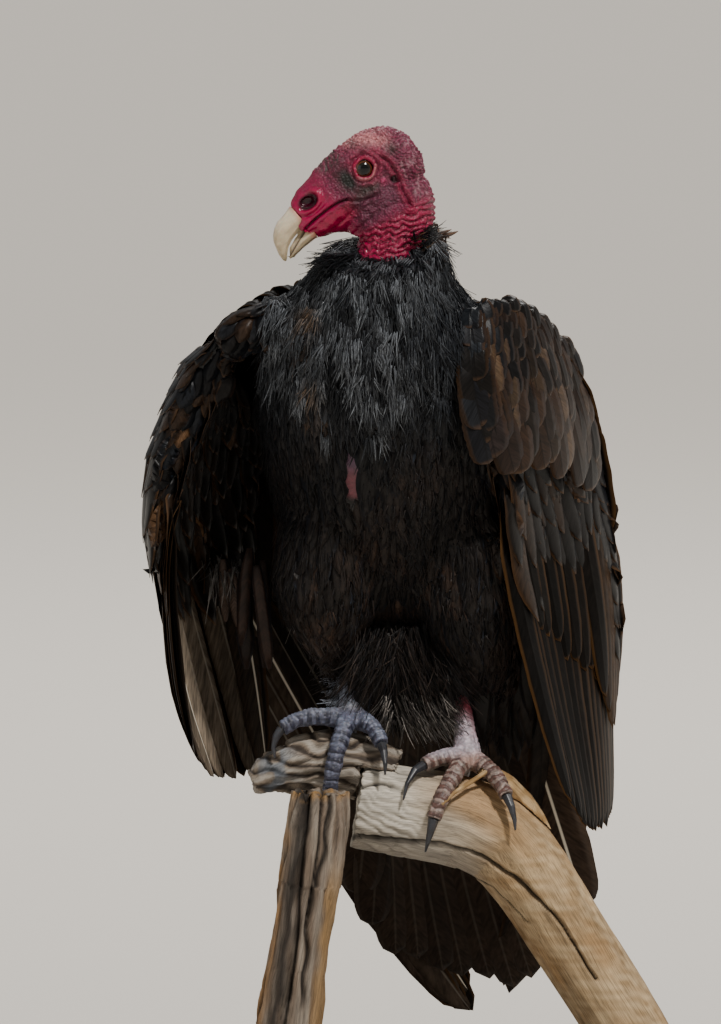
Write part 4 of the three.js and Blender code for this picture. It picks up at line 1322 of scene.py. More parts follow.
barb = vanes(strands, strand_up, strand_half, [-1, 1], 0.0, 0.25, strand_tint, plain)

soft_feather = feather_finish("soft_feather", 0.52, "#3d2c20", None, "#8fa4c0", 26, 0.04, 0.22)


def chosen(group, per, mask):
    """The vanes of a group that a mask picks; per is the number of corners in each."""

    def pick(values):
        return values.reshape(len(mask), per, -1)[mask].reshape(-1, values.shape[-1])

    faces = group["faces"].reshape(len(mask), -1, 3)[mask]
    shift = (np.flatnonzero(mask) - np.arange(mask.sum())) * per
    picked = {key: pick(values) for key, values in group.items() if key != "faces"}
    picked["faces"] = (faces - shift[:, None, None]).reshape(-1, 3)
    return picked


zones = (
    ("ruff_and_breast_feathers", lambda p: (p[:, 1] < 40) & (p[:, 2] >= 430)),
    ("breast_and_belly_feathers", lambda p: (p[:, 1] < 40) & (p[:, 2] < 430) & (p[:, 2] >= 350)),
    ("belly_and_thigh_feathers", lambda p: (p[:, 1] < 40) & (p[:, 2] < 350)),
    ("back_and_rump_feathers", lambda p: p[:, 1] >= 40),
)
for name, inside in zones:
    groups = [
        chosen(contour, STATIONS * 4, inside(roots)),
        chosen(barb, 4 * 3, inside(roots[owner])),
    ]
    coat_piece(name, groups, soft_feather, "plumage")

# ---------------------------------------------------------------- bib, fringe and down
# Wispy silver-grey strands hang over the upper breast in clumps. Paler ones fringe the belly's hem, and white
# down stands round the top of the right leg.


def wisps(name, spots, run, length, half, tint, seed, clump=0.35, loft=0.6, spread=0.12):
    """Strands from places on a skin, in clumps that lean together."""
    draw = np.random.default_rng(seed)
    place, normal, _, _ = nearest_on(body_surface, spots)
    lean = np.stack([waves(spots, 9, seed + k) for k in (1, 2, 3)], 1)
    way = unit(run + clump * lean + draw.normal(0, spread, spots.shape))
    way = unit(way - normal * (way * normal).sum(1)[:, None] * 0.75)
    long = length * draw.uniform(0.6, 1.3, len(spots))
    sag = np.linspace(0, 1, 4)
    curl = draw.normal(0, 0.12, (len(spots), 3)) * long[:, None]
    lines = spots[:, None] + way[:, None] * (long[:, None] * sag)[..., None]
    lines = lines + curl[:, None] * (sag**2)[None, :, None]
    arch = loft * draw.uniform(0.3, 1.6, len(spots))[:, None] * np.sin(sag * 2.4)
    lines = lines + normal[:, None] * arch[..., None]
    width = (half * draw.uniform(0.6, 1.3, len(spots)))[:, None] * np.array([1.0, 0.95, 0.7, 0.08])
    shade = np.clip(tint * draw.uniform(0.6, 1.35, (len(spots), 1)), 0, 1)
    dress = np.tile([0.0, 0.1, 0.0], (len(spots), 1))
    ups_of = np.repeat(normal[:, None], len(sag), 1)
    group = vanes(lines, ups_of, width, [-1, 1], 0.0, 0.25, shade, dress)
    return coat_piece(name, [group], soft_feather, "plumage")


def on_body(inside, gap, tries, seed, up=3.6):
    """Places over the body skin, lifted to the top of the plumage, where inside is above chance."""
    draw = np.random.default_rng(seed)
    spots = scattered(inside, lambda p: np.full(len(p), gap), tries, seed)
    _, normal, _, _ = nearest_on(body_surface, spots)
    return spots + normal * (up * draw.uniform(0.5, 1.0, len(spots)))[:, None]


def bib_area(p):
    """How thickly the bib's strands stand: most over the upper breast, with a ragged lower edge."""
    x, y, z = p.T
    low = 444 + 14 * waves(p, 26, 141) + 0.35 * np.abs(x + 14)
    return rise(25, -5, y) * rise(low, low + 34, z) * rise(548, 532, z) * rise(60, 38, np.abs(x + 14))


BIB_BARBS = 15
bib_owner = np.repeat(on_body(bib_area, 5.0, 60000, 142), BIB_BARBS, 0)
draw = np.random.default_rng(163)
bib_run = lie(bib_owner)
bib_cross = unit(np.cross(bib_run, nearest_on(body_surface, bib_owner)[1]))
fan = draw.uniform(-1, 1, (len(bib_owner), 1))
bib_spots = bib_owner + bib_cross * fan * 3.4 + bib_run * draw.uniform(-2, 2, fan.shape)
bib_tint = dyed("#5d6064", len(bib_spots), ("#141517", 0.5 + 0.6 * waves(bib_owner, 11, 143)))
bib_tint = over(bib_tint, "#14161a", rise(15, 40, bib_spots[:, 0]) * 0.8)
for at_x, at_z, size in BREAST_STAINS:
    stain = bump_at(np.hypot(bib_spots[:, 0] - at_x, bib_spots[:, 2] - at_z), 0, size)
    bib_tint = over(bib_tint, "#66503a", stain * 0.8)
bib_way = unit(bib_run + bib_cross * fan * 0.16)
wisps("breast_wisps", bib_spots, bib_way, 13, 0.4, bib_tint, 144, clump=0.3, loft=0.5, spread=0.03)


def heap(low, high, count, seed):
    """Places spread evenly through a box."""
    return np.random.default_rng(seed).uniform(low, high, (count, 3))


left_fringe = heap((-4, -6, 258), (36, 6, 276), 300, 145)
right_fringe = heap((-58, -14, 320), (-36, -4, 330), 60, 164)
fringe_spots = np.concatenate([left_fringe, right_fringe])
fringe_tint = dyed("#77716b", len(fringe_spots), ("#1a1410", 0.45 + 0.6 * waves(fringe_spots, 7, 146)))
hanging = np.array([0.05, -0.12, -1.0])
wisps("belly_fringe", fringe_spots, hanging, 17, 0.45, fringe_tint, 147, clump=0.3, loft=0.6, spread=0.1)


def leg_spots(seed, count):
    """Places round the top of the right leg, above its foot."""
    draw = np.random.default_rng(seed)
    turn = draw.uniform(0, 2 * math.pi, count)
    up = draw.random(count) ** 1.2
    centre = np.stack([np.full(count, -24.0), 6 + 32 * up, 262 + 34 * up], 1)
    return centre + np.stack([np.cos(turn) * 7.5, np.sin(turn) * 7.0, 0 * turn], 1)


down_spots = leg_spots(148, 620)
down_run = unit(down_spots - np.array([-24, 22, 285.0])) + np.array([0, -0.35, -0.8])
down_tint = dyed("#a4a9b4", len(down_spots), ("#5b6068", 0.5 + 0.5 * waves(down_spots, 8, 149)))
wisps("leg_down", down_spots, unit(down_run), 9, 0.3, down_tint, 150, clump=0.5, loft=0.5, spread=0.35)

# Dark tufts stand at the throat and behind the neck, and long loose feathers hang at the flank and between
# the legs.


throat_spots = heap((-36, -64, 536), (-20, -50, 545), 260, 151)
throat_tint = hue("#0b0b0c")
throat_run = unit(np.array([-0.9, -0.3, -0.3]))
wisps("throat_tuft", throat_spots, throat_run, 15, 0.6, throat_tint, 152, clump=0.35, loft=1.2, spread=0.25)
nape_spots = heap((4, -60, 540), (21, -22, 556), 760, 153)
nape_tint = dyed("#0c0b0b", len(nape_spots), ("#5b432b", rise(0.3, 1.0, waves(nape_spots, 9, 154)) * 0.9))
nape_run = unit(np.array([0.4, -0.2, 0.85]))
wisps("nape_tuft", nape_spots, nape_run, 11, 0.6, nape_tint, 155, clump=0.7, loft=0.6, spread=0.22)


def hanging_feathers(name, spots, run, length, half, tint, seed, shape=SHAPE):
    """Loose feathers that hang clear of the skin."""
    draw = np.random.default_rng(seed)
    way = unit(run + draw.normal(0, 0.07, spots.shape))
    long = length * draw.uniform(0.8, 1.15, len(spots))
    lines = spots[:, None] + way[:, None] * (long[:, None] * share)[..., None]
    lines = lines + np.array([0, 0.12, 0]) * (long[:, None] * share**2)[..., None]
    up = np.tile([0.0, -1.0, 0.1], (len(spots), STATIONS, 1)) + draw.normal(0, 0.15, (len(spots), 1, 3))
    wide = half * draw.uniform(0.85, 1.15, len(spots))
    shade = tint * draw.uniform(0.7, 1.3, (len(spots), 1))
    dress = np.stack([np.full(len(spots), 0.2), wide / long, np.full(len(spots), 0.2)], 1)
    ragged = 1 - 0.16 * draw.random((len(spots), STATIONS))
    widths = wide[:, None] * shape * ragged
    group = vanes(lines, unit(up), widths, [-1, -0.5, 0, 0.5, 1], 0.15, 0.3, shade, dress)
    return coat_piece(name, [group], soft_feather, "plumage")


flank_spots = heap((50, 10, 296), (82, 44, 345), 150, 156)
flank_tint = hue("#15100c")
hanging_feathers("flank_feathers", flank_spots, np.array([0.0, 0.1, -1.0]), 64, 7, flank_tint, 157)
SQUARE = np.array([0.5, 0.9, 1.0, 1.0, 1.0, 0.85, 0.3])
fold_spots = np.array([(-84, 4, 362), (-76, 9, 354), (-80, 0, 352), (-88, 12, 346)], float)
fold_tint = hue("#1b110c")
hanging_feathers("wing_fold_feathers", fold_spots, np.array([0.0, 0.05, -1.0]), 68, 5, fold_tint, 160, SQUARE)
pale_spots = np.array([(-96, 46, 345), (-90, 48, 342), (-101, 52, 350)], float)
pale_tint = hue("#5e4e45")
pale_way = np.array([0.05, 0.05, -1.0])
hanging_feathers("pale_wing_fold_feathers", pale_spots, pale_way, 36, 3.6, pale_tint, 171, SQUARE)
down_in_fold = heap((-110, 42, 338), (-82, 66, 352), 80, 161)
down_tint = dyed("#85807c", 80, ("#1d1917", 0.5 + 0.7 * waves(down_in_fold, 7, 172)))
fold_way = np.array([0.12, -0.2, -1.0])
wisps("wing_down", down_in_fold, fold_way, 22, 0.7, down_tint, 162, clump=0.4, spread=0.16)
vent_spots = heap((-22, -4, 292), (36, 44, 318), 230, 158)
vent_tint = hue("#0f0b08")
hanging_feathers("vent_feathers", vent_spots, np.array([0.02, 0.12, -1.0]), 42, 4.2, vent_tint, 159)
hair_spots = heap((-22, -10, 284), (38, 12, 316), 1500, 165)
hair_tint = dyed("#100c09", 1500, ("#3b3029", 0.3 + 0.6 * waves(hair_spots, 8, 166)))
hair_way = np.array([0.03, -0.05, -1.0])
wisps("vent_wisps", hair_spots, hair_way, 26, 0.42, hair_tint, 167, clump=0.3, loft=0.4, spread=0.08)

# ---------------------------------------------------------------- wing coverts
# Short rounded coverts lie like shingles over both faces of the wing arms, small at the wrist and longer
# towards the flight feathers. Many have worn, tan-brown edges.


def curve_weights(t, count):
    """How much each of count points on a smooth curve counts at t, from 0 to 1."""
    last = count - 1
    t = np.asarray(t, float)
    i = np.clip(np.floor(t * last), 0, last - 1).astype(int)
    f = t * last - i
    weight = np.zeros(t.shape + (count,))
    parts_of = (
        0.5 * (-f + 2 * f**2 - f**3),
        1 + 0.5 * (-5 * f**2 + 3 * f**3),
        0.5 * (f + 4 * f**2 - 3 * f**3),
        0.5 * (-(f**2) + f**3),
    )
    for step_on, value in zip((-1, 0, 1, 2), parts_of):
        at = np.clip(i + step_on, 0, last)[..., None]
        so_far = np.take_along_axis(weight, at, -1)
        np.put_along_axis(weight, at, so_far + value[..., None], -1)
    return weight


def shell(lines):
    """A curved sheet through lines of points: t runs along each line and v from line to line."""
    lines = np.asarray(lines, float)

    def at(t, v):
        along = curve_weights(t, lines.shape[1])
        down = curve_weights(v, lines.shape[0])
        return np.einsum("...v,...t,vtk->...k", down, along, lines)

    return at


def shell_frame(at, t, v):
    """Places on a sheet, its normals and which way t runs there."""
    h = 0.01
    dt = at(t + h, v) - at(t - h, v)
    dv = at(t, v + h) - at(t, v - h)
    return at(t, v), unit(np.cross(dt, dv)), unit(dt)


LEFT_WING = shell(
    [
        [(60, -53, 490), (79, -20, 486), (101, 24, 454), (113, 70, 420)],
        [(66, -46, 428), (86, -4, 420), (112, 40, 398), (127, 82, 366)],
        [(73, -30, 350), (94, 12, 342), (119, 54, 330), (132, 94, 318)],
        [(90, -12, 270), (106, 28, 264), (124, 64, 258), (133, 102, 262)],
        [(112, 6, 192), (121, 42, 186), (131, 76, 182), (136, 108, 184)],
    ]
)
RIGHT_WING = shell(
    [
        [(-97, -38, 490), (-103, -4, 484), (-102, 42, 468), (-78, 82, 448)],
        [(-123, -26, 420), (-131, 8, 414), (-124, 52, 404), (-88, 92, 388)],
        [(-131, -14, 352), (-134, 16, 346), (-126, 56, 340), (-88, 98, 330)],
        [(-127, -6, 284), (-128, 24, 276), (-113, 62, 272), (-82, 104, 270)],
        [(-118, 2, 238), (-112, 28, 226), (-98, 64, 212), (-76, 108, 212)],
    ]
)
# Which side of each sheet is the wing's upper side: its normal's (1) or the other (-1).
UPPER = {"left": -1, "right": 1}
WINGS = {"left": LEFT_WING, "right": RIGHT_WING}
# Rows of coverts: how far down the wing, length, half width.
COVERT_ROWS = [(0.0, 22, 6.0), (0.035, 23, 6.2), (0.07, 25, 6.6), (0.105, 27, 7.0), (0.145, 29, 7.4)]
COVERT_ROWS += [(0.185, 33, 8.0), (0.23, 38, 8.8), (0.275, 46, 9.6), (0.325, 56, 10.2), (0.375, 66, 10.6)]
ROUND_TIP = np.array([0.4, 0.75, 0.93, 1.0, 1.0, 0.93, 0.76, 0.42, 0.04])


def wing_colour(t, v, outer, draw):
    """Blackish with a painted slate sheen high up, browner and more worn towards the tips and edges."""
    count = len(t)
    base = dyed(
        "#0e0b09",
        count,
        # A slate tint on the upper rows: painted sheen.
        ("#14161a", rise(0.35, 0.1, v) * draw.uniform(0.2, 1, count)),
        ("#2a1e15", (draw.random(count) < 0.32) * 0.85),
        ("#5c432e", (draw.random(count) < 0.05) * (v > 0.1) * 0.85),
    )
    if not outer:
        base = over(base, "#120e0b", np.full(count, 0.6))
    return base * draw.uniform(0.75, 1.2, (count, 1))


def coverts(side, outer, seed):
    """The covert rows on one face of a wing arm."""
    draw = np.random.default_rng(seed)
    at = WINGS[side]
    face = UPPER[side] * (1 if outer else -1)
    # Behind the right shoulder the scapulars lie over the wing instead.
    under_scapulars = side == "right" and outer
    groups = []
    for row, (v0, length, half) in enumerate(COVERT_ROWS):
        gap = half * 1.12 / 112
        t = np.arange((0.09 if under_scapulars else 0.01) + (row % 2) * gap / 2, 0.995, gap)
        if under_scapulars:
            t = t[t < 0.3 + 0.9 * v0]
        t = np.clip(t + draw.normal(0, gap * 0.12, len(t)), 0, 1)
        v = v0 + draw.normal(0, 0.006, len(t))
        place, normal, _ = shell_frame(at, t, v)
        roots = place + normal * (face * (18 * (1 - v / 0.5) + 2))[:, None]
        onward = unit(at(t + 0.03, v + 0.05) - place)
        spread = turned(onward, normal, draw.normal(0, 0.09, len(t)))
        long = length * draw.uniform(0.88, 1.14, len(t))
        lines, ups = laid(roots, spread, long, 9, 0.9, wing_surface)
        share = np.linspace(0, 1, 9)
        lines = lines + ups * (0.25 + (1.5 + draw.uniform(0, 1.1, len(t)))[:, None] * share**1.2)[..., None]
        lines = lines - ups * (4.0 * rise(0.22, 0, share))[None, :, None]
        wide = half * draw.uniform(0.9, 1.1, len(t))
        edge = np.clip(0.35 + 0.5 * draw.random(len(t)) - 0.35 * (v < 0.1), 0, 1)
        dress = np.stack([edge, wide / long, np.full(len(t), 0.35)], 1)
        tint = wing_colour(t, v, outer, draw)
        widths = wide[:, None] * ROUND_TIP
        groups.append(vanes(lines, ups, widths, [-1, -0.45, 0, 0.45, 1], 0.2, 0.4, tint, dress))
    return groups


wing_surface = surface_over(
    "wing_left_arm",
    "wing_right_arm",
    "wing_left_secondaries",
    "wing_right_secondaries",
)
covert_feather = feather_finish("covert_feather", 0.36, "#6e5036", "#0b0908", "#93a7c4", 34, 0.02, 0.13)

# A first layer of small marginal coverts wraps the shoulder and the wing's leading edge.


def on_the_arms(spots):
    return rise(6.0, 2.0, nearest_on(arm_surface, spots)[3]) * rise(368, 382, spots[:, 2])


def arm_space(spots):
    return 5.4 + 2.6 * rise(480, 420, spots[:, 2])


arm_roots = scattered(on_the_arms, arm_space, 22000, 75)
draw = np.random.default_rng(76)
_, facing, _, _ = nearest_on(body_surface, arm_roots)
arm_side = np.sign(arm_roots[:, 0])
outward = np.stack([0.2 * arm_side, np.full(len(arm_roots), 0.12), 0 * arm_side], 1)
arm_way = turned(unit(lie(arm_roots) + outward), facing, draw.normal(0, 0.1, len(arm_roots)))
arm_long = (20 + 8 * rise(480, 400, arm_roots[:, 2])) * draw.uniform(0.85, 1.2, len(arm_roots))
arm_lines, arm_ups = laid(arm_roots, arm_way, arm_long, 7, 0.9)
arm_lift = 0.3 + (1.3 + draw.uniform(0, 0.8, len(arm_roots)))[:, None] * np.linspace(0, 1, 7) ** 1.3
arm_half = (5.6 + 1.6 * rise(480, 420, arm_roots[:, 2])) * draw.uniform(0.9, 1.1, len(arm_roots))
arm_tint = wing_colour(np.zeros(len(arm_roots)), rise(500, 340, arm_roots[:, 2]) * 0.4, True, draw)
arm_edge = np.clip(0.1 + 0.5 * draw.random(len(arm_roots)) - 0.2, 0, 1)
arm_dress = np.stack([arm_edge, arm_half / arm_long, np.full(len(arm_roots), 0.3)], 1)
BLUNT = np.array([0.4, 0.8, 1.0, 1.0, 0.94, 0.7, 0.1])
arm_lines = arm_lines + arm_ups * arm_lift[..., None]
arm_widths = arm_half[:, None] * BLUNT
marginals = vanes(arm_lines, arm_ups, arm_widths, [-1, 0, 1], 0.2, 0.35, arm_tint, arm_dress)
coat_piece("marginal_wing_coverts", [marginals], covert_feather, "plumage")
for side, seed in (("left", 71), ("right", 73)):
    coat_piece(side + "_upper_wing_coverts", coverts(side, True, seed), covert_feather, "plumage")
    coat_piece(side + "_under_wing_coverts", coverts(side, False, seed + 1), covert_feather, "plumage")

# ---------------------------------------------------------------- flight feathers of the wings
# Long stiff vanes with a strong shaft, each lying half over the next like slats. Their upper side is
# blackish brown, and their under side is greyer and paler, with an ivory shaft.

LONG = 26
QUILL_TIP = np.linspace(0, 1, LONG)
PINION = rise(-0.03, 0.16, QUILL_TIP) * np.clip(1 - QUILL_TIP**9, 0, 1) ** 0.55
ACROSS = [-1, -0.62, -0.28, -0.07, 0, 0.07, 0.28, 0.62, 1]


ROOT_SUNK = 3.5


def slats(
    at,
    face,
    count,
    root,
    tip,
    half,
    tilt,
    seed,
    lift,
    colour,
    edge,
    over_toward=1,
    shape=PINION,
    shafts=0.5,
    loose=1.0,
):
    """Flight feathers on a sheet, from root (t0, t1, v) to tip (t0, t1, v), which lie over one another
    towards over_toward; lift is how far off the sheet they lie, on the face that is seen."""
    draw = np.random.default_rng(seed)
    k = np.linspace(0, 1, count)
    s = QUILL_TIP
    t_root = root[0] + (root[1] - root[0]) * k + loose * draw.normal(0, 0.004, count)
    t_tip = tip[0] + (tip[1] - tip[0]) * k + loose * draw.normal(0, 0.008, count)
    v_root = np.full(count, root[2]) + loose * draw.normal(0, 0.004, count)
    v_tip = np.interp(k, np.linspace(0, 1, len(tip[2])), tip[2]) + loose * draw.normal(0, 0.009, count)
    t = t_root[:, None] + (t_tip - t_root)[:, None] * s
    v = v_root[:, None] + (v_tip - v_root)[:, None] * s
    place, normal, toward = shell_frame(at, t, v)
    up = normal * face
    curl = 0.6 * draw.normal(0, 0.4, count)[:, None] * s**2
    line = place + up * (lift * rise(-0.1, 0.3, s) + curl)[..., None]
    line = line + up * (0.9 * np.sin(s * math.pi) - ROOT_SUNK * rise(0.14, 0, s))[None, :, None]
    # The vane leans over its neighbour by a slight turn about its own shaft.
    sideways = unit(np.cross(unit(np.gradient(line, axis=1)), up))
    sense = np.sign((sideways * toward).sum(-1).mean(1))[:, None, None]
    up = unit(up - sideways * (tilt * over_toward * sense))
    wide = half * draw.uniform(0.93, 1.07, count)
    ripple = s * draw.uniform(9, 30, count)[:, None] + draw.uniform(0, 6, count)[:, None]
    notch = 1 - 0.05 * np.abs(np.sin(ripple))
    length = np.linalg.norm(np.diff(line, axis=1), axis=2).sum(1)
    edging = edge * draw.uniform(0.5, 1.2, count)
    dress = np.stack([edging, wide / length, np.zeros(count) + np.asarray(shafts)], 1)
    hues = np.array([hue(code) for code in colour])
    steps_across = np.linspace(0, 1, len(hues))
    base = np.stack([np.interp(k, steps_across, hues[:, c]) for c in range(3)], 1)
    base = base * draw.uniform(0.8, 1.25, (count, 1))
    return vanes(line, up, wide[:, None] * shape * notch, ACROSS, 0.10, 0.5, base, dress, shaft=0.55)


flight_feather = feather_finish("flight_feather", 0.45, "#70502f", "#0b0907", "#7d8aa0", 60, 0.01, 0.03)
under_feather = feather_finish("under_flight_feather", 0.5, "#33261c", "#efe6d4", "#b9b4ac", 60, 0.02, 0.05)

left_secondaries = [
    slats(
        LEFT_WING,
        -1,
        15,
        root=(0.02, 0.93, 0.36),
        tip=(0.05, 0.97, [0.93, 1.0, 1.01, 0.99, 0.97]),
        half=11,
        tilt=0.17,
        seed=81,
        lift=1.0,
        colour=["#0b0908", "#0e0b09", "#15100c"],
        edge=0.85,
    ),
    slats(
        LEFT_WING,
        -1,
        12,
        root=(0.08, 0.98, 0.30),
        tip=(0.18, 1.0, [0.6, 0.66, 0.68, 0.72]),
        half=10,
        tilt=0.17,
        seed=82,
        lift=3.4,
        colour=["#0c0a08", "#120d0a"],
        edge=0.9,
    ),
    slats(
        LEFT_WING,
        -1,
        6,
        root=(0.55, 1.0, 0.22),
        tip=(0.74, 1.03, [0.74, 0.82, 0.74]),
        half=11.5,
        tilt=0.16,
        seed=83,
        lift=5.6,
        colour=["#0d0a08", "#3a2a1c", "#0d0a08"],
        edge=0.8,
    ),
]
coat_piece("left_secondaries", left_secondaries, flight_feather, "flight_feathers", "wing_left_secondaries")

# Broad rounded coverts wrap the left shoulder and the upper arm in front, in rows like roof tiles.

BROAD_AT = [0, 0.15, 0.5, 0.78, 0.88, 0.94, 0.98, 1]
BROAD = np.interp(QUILL_TIP, BROAD_AT, [0.55, 0.8, 1, 0.98, 0.86, 0.66, 0.4, 0.05])
SHOULDER_FRONT = shell(
    [
        [(46, -56, 508), (60, -50, 515), (80, -24, 506), (104, 20, 480)],
        [(47, -72, 470), (64, -66, 468), (93, -30, 458), (117, 26, 436)],
        [(58, -68, 418), (74, -54, 412), (101, -18, 404), (125, 42, 388)],
    ]
)
# The cool grey-blue tones in these rows are painted sheen; the browns are the feathers' own colour.
TILE_TONES = [
    ["#15181c", "#0f0d0c", "#1d160f"],
    ["#101013", "#291c13", "#120e0c"],
    ["#17181b", "#110e0c", "#2c2018"],
]
WORN_ROWS = (4, 6, 9)
WORN_TONES = ["#0f0d0c", "#100d0b", "#4f3f30", "#15100c", "#20170f", "#46372a", "#120e0c", "#31251b"]
shoulder_tiles = []
for row in range(11):
    v0 = -0.03 + 0.057 * row
    v1 = min(v0 + 0.17 + 0.02 * row, 0.95)
    off = 0.05 * (row % 2)
    shoulder_tiles.append(
        slats(
            SHOULDER_FRONT,
            -1,
            11 - row // 3,
            root=(off, 0.93 + off, v0),
            tip=(off, 0.95 + off, [v1 + 0.02, v1, v1 + 0.02]),
            half=6.9 + 0.5 * row,
            tilt=0.14,
            seed=170 + row,
            lift=5.8 - 0.43 * row,
            colour=WORN_TONES if row in WORN_ROWS else TILE_TONES[row % 3],
            edge=0.45,
            shape=BROAD,
            loose=3.0,
        )
    )
coat_piece("left_shoulder_coverts", shoulder_tiles, covert_feather, "plumage")

# The right wing's secondaries show their pale under side in front, and dark rows lie over them behind.

right_secondaries = slats(
    RIGHT_WING,
    -1,
    8,
    root=(0.02, 0.92, 0.36),
    tip=(0.08, 1.02, [0.97, 1.0, 1.0, 0.97]),
    half=18,
    tilt=0.14,
    seed=84,
    lift=0.5,
    colour=["#1f1813", "#473c32", "#6a5f52", "#5a5045", "#2a221b"],
    edge=0.55,
    over_toward=-1,
    shape=BROAD,
    shafts=[0.1, 0.15, 0.2, 1.0, 0.15, 0.2, 0.15, 0.9],
)
right_greater_coverts = [
    slats(
        RIGHT_WING,
        1,
        12,
        root=(0.02, 0.95, 0.34),
        tip=(0.06, 0.95, [0.6, 0.62, 0.66]),
        half=10,
        tilt=0.16,
        seed=85,
        lift=2.2,
        colour=["#120d0a"],
        edge=0.6,
        over_toward=-1,
    ),
    slats(
        RIGHT_WING,
        1,
        14,
        root=(0.03, 0.96, 0.34),
        tip=(0.09, 1.01, [0.94, 0.98, 0.98, 0.95]),
        half=11,
        tilt=0.16,
        seed=168,
        lift=1.0,
        colour=["#15100c"],
        edge=0.6,
        over_toward=-1,
    ),
]
coat_piece(
    "right_secondaries",
    [right_secondaries],
    under_feather,
    "flight_feathers",
    "wing_right_secondaries",
)
coat_piece("right_greater_coverts", right_greater_coverts, flight_feather, "flight_feathers")

# The primaries, the longest feathers of the wings' hands, cross below the tail's root.

LEFT_HAND = shell(
    [
        [(72, -20, 440), (82, 18, 412), (94, 58, 380)],
        [(82, 48, 338), (98, 76, 328), (113, 100, 316)],
        [(92, 116, 240), (108, 138, 234), (120, 152, 226)],
        [(86, 178, 148), (98, 190, 148), (112, 190, 158)],
        [(68, 226, 62), (80, 228, 60), (92, 214, 104)],
    ]
)
RIGHT_HAND = shell(
    [
        [(-112, -8, 436), (-106, 34, 406), (-94, 66, 384)],
        [(-112, 66, 334), (-92, 88, 328), (-70, 102, 322)],
        [(-66, 128, 232), (-44, 150, 226), (-18, 160, 222)],
        [(-18, 188, 136), (4, 202, 134), (22, 206, 148)],
        [(46, 229, 46), (54, 232, 52), (44, 224, 94)],
    ]
)
left_primaries = slats(
    LEFT_HAND,
    -1,
    7,
    root=(0.1, 0.9, 0.22),
    tip=(0.0, 1.0, [0.99, 1.0, 0.97, 0.9]),
    half=10,
    tilt=0.1,
    seed=86,
    lift=0.0,
    colour=["#1b1612"],
    edge=0.4,
)
right_primaries = slats(
    RIGHT_HAND,
    -1,
    5,
    root=(0.1, 0.9, 0.22),
    tip=(0.0, 1.0, [0.99, 1.0, 0.97, 0.86]),
    half=14,
    tilt=0.1,
    seed=87,
    lift=0.0,
    colour=["#2a221c", "#3a3129", "#17120e"],
    edge=0.4,
    over_toward=-1,
    shafts=[0.2, 0.1, 0.9, 0.1, 0.1],
)
hand_above = slats(
    RIGHT_HAND,
    1,
    7,
    root=(0.08, 0.92, 0.2),
    tip=(0.0, 1.0, [0.99, 1.0, 0.97, 0.86]),
    half=13,
    tilt=0.12,
    seed=169,
    lift=1.2,
    colour=["#15100c"],
    edge=0.5,
    over_toward=-1,
)
coat_piece("left_primaries", [left_primaries], flight_feather, "flight_feathers", "wing_left_primaries")
coat_piece("right_primaries", [right_primaries], under_feather, "flight_feathers", "wing_right_primaries")
coat_piece("right_primaries_above", [hand_above], flight_feather, "flight_feathers")

# ---------------------------------------------------------------- scapulars
# Broad feathers from the shoulders lie over the joint between back and wing and close the space between.

LEFT_SHOULDER = shell(
    [
        [(22, 10, 518), (50, 4, 509), (72, -22, 500)],
        [(32, 66, 448), (76, 66, 448), (112, 34, 452)],
        [(42, 118, 344), (88, 124, 332), (130, 88, 356)],
    ]
)
RIGHT_SHOULDER = shell(
    [
        [(-24, 8, 520), (-62, 9, 517), (-93, -20, 502)],
        [(-34, 69, 450), (-94, 84, 453), (-127, 42, 436)],
        [(-46, 124, 330), (-100, 124, 316), (-142, 62, 336)],
    ]
)


def shoulder_rows(at, face, seed):
    """Scapulars row on row, from the shoulder down to the long ones at the end."""
    groups = []
    for row in range(10):
        v0 = -0.03 + 0.067 * row
        v1 = min(v0 + 0.27 + 0.012 * row, 1.0)
        off = 0.07 * (row % 2)
        groups.append(
            slats(
                at,
                face,
                7 + row % 2,
                root=(0.02 + off, 0.9 + off, v0),
                tip=(off, 0.92 + off, [v1, v1 + 0.03, v1]),
                half=8.5 + 0.45 * row,
                tilt=0.1,
                seed=seed + row,
                lift=5.2 - 0.5 * row,
                colour=["#1a1511", "#120f0d"],
                edge=0.75,
            )
        )
    return groups


left_rows = shoulder_rows(LEFT_SHOULDER, 1, 91)
right_rows = shoulder_rows(RIGHT_SHOULDER, -1, 101)
coat_piece("left_scapulars", left_rows, flight_feather, "plumage", "scapulars_left")
coat_piece("right_scapulars", right_rows, flight_feather, "plumage", "scapulars_right")

# ---------------------------------------------------------------- tail
# Twelve broad tail feathers fan out a little below the branch, the middle pair on top and the outer ones
# underneath, with pale shafts and worn tips.

TAIL_ROOT = [(-4, 106, 300), (18, 116, 298), (46, 118, 296), (70, 106, 296)]
TAIL_MIDDLE = [(-20, 138, 216), (10, 164, 190), (56, 172, 182), (98, 148, 208)]
TAIL_END = [(-22, 178, 134), (-3, 198, 92), (26, 210, 77), (56, 216, 67)]
TAIL_END += [(82, 216, 64), (104, 206, 80), (124, 186, 124)]


def tail_at(t, v):
    """The tail's curved sheet, from its root to the feathers' tips."""
    rows = [
        np.einsum("...t,tk->...k", curve_weights(t, len(line)), np.asarray(line, float))
        for line in (TAIL_ROOT, TAIL_MIDDLE, TAIL_END)
    ]
    return np.einsum("...v,...vk->...k", curve_weights(v, 3), np.stack(rows, -2))


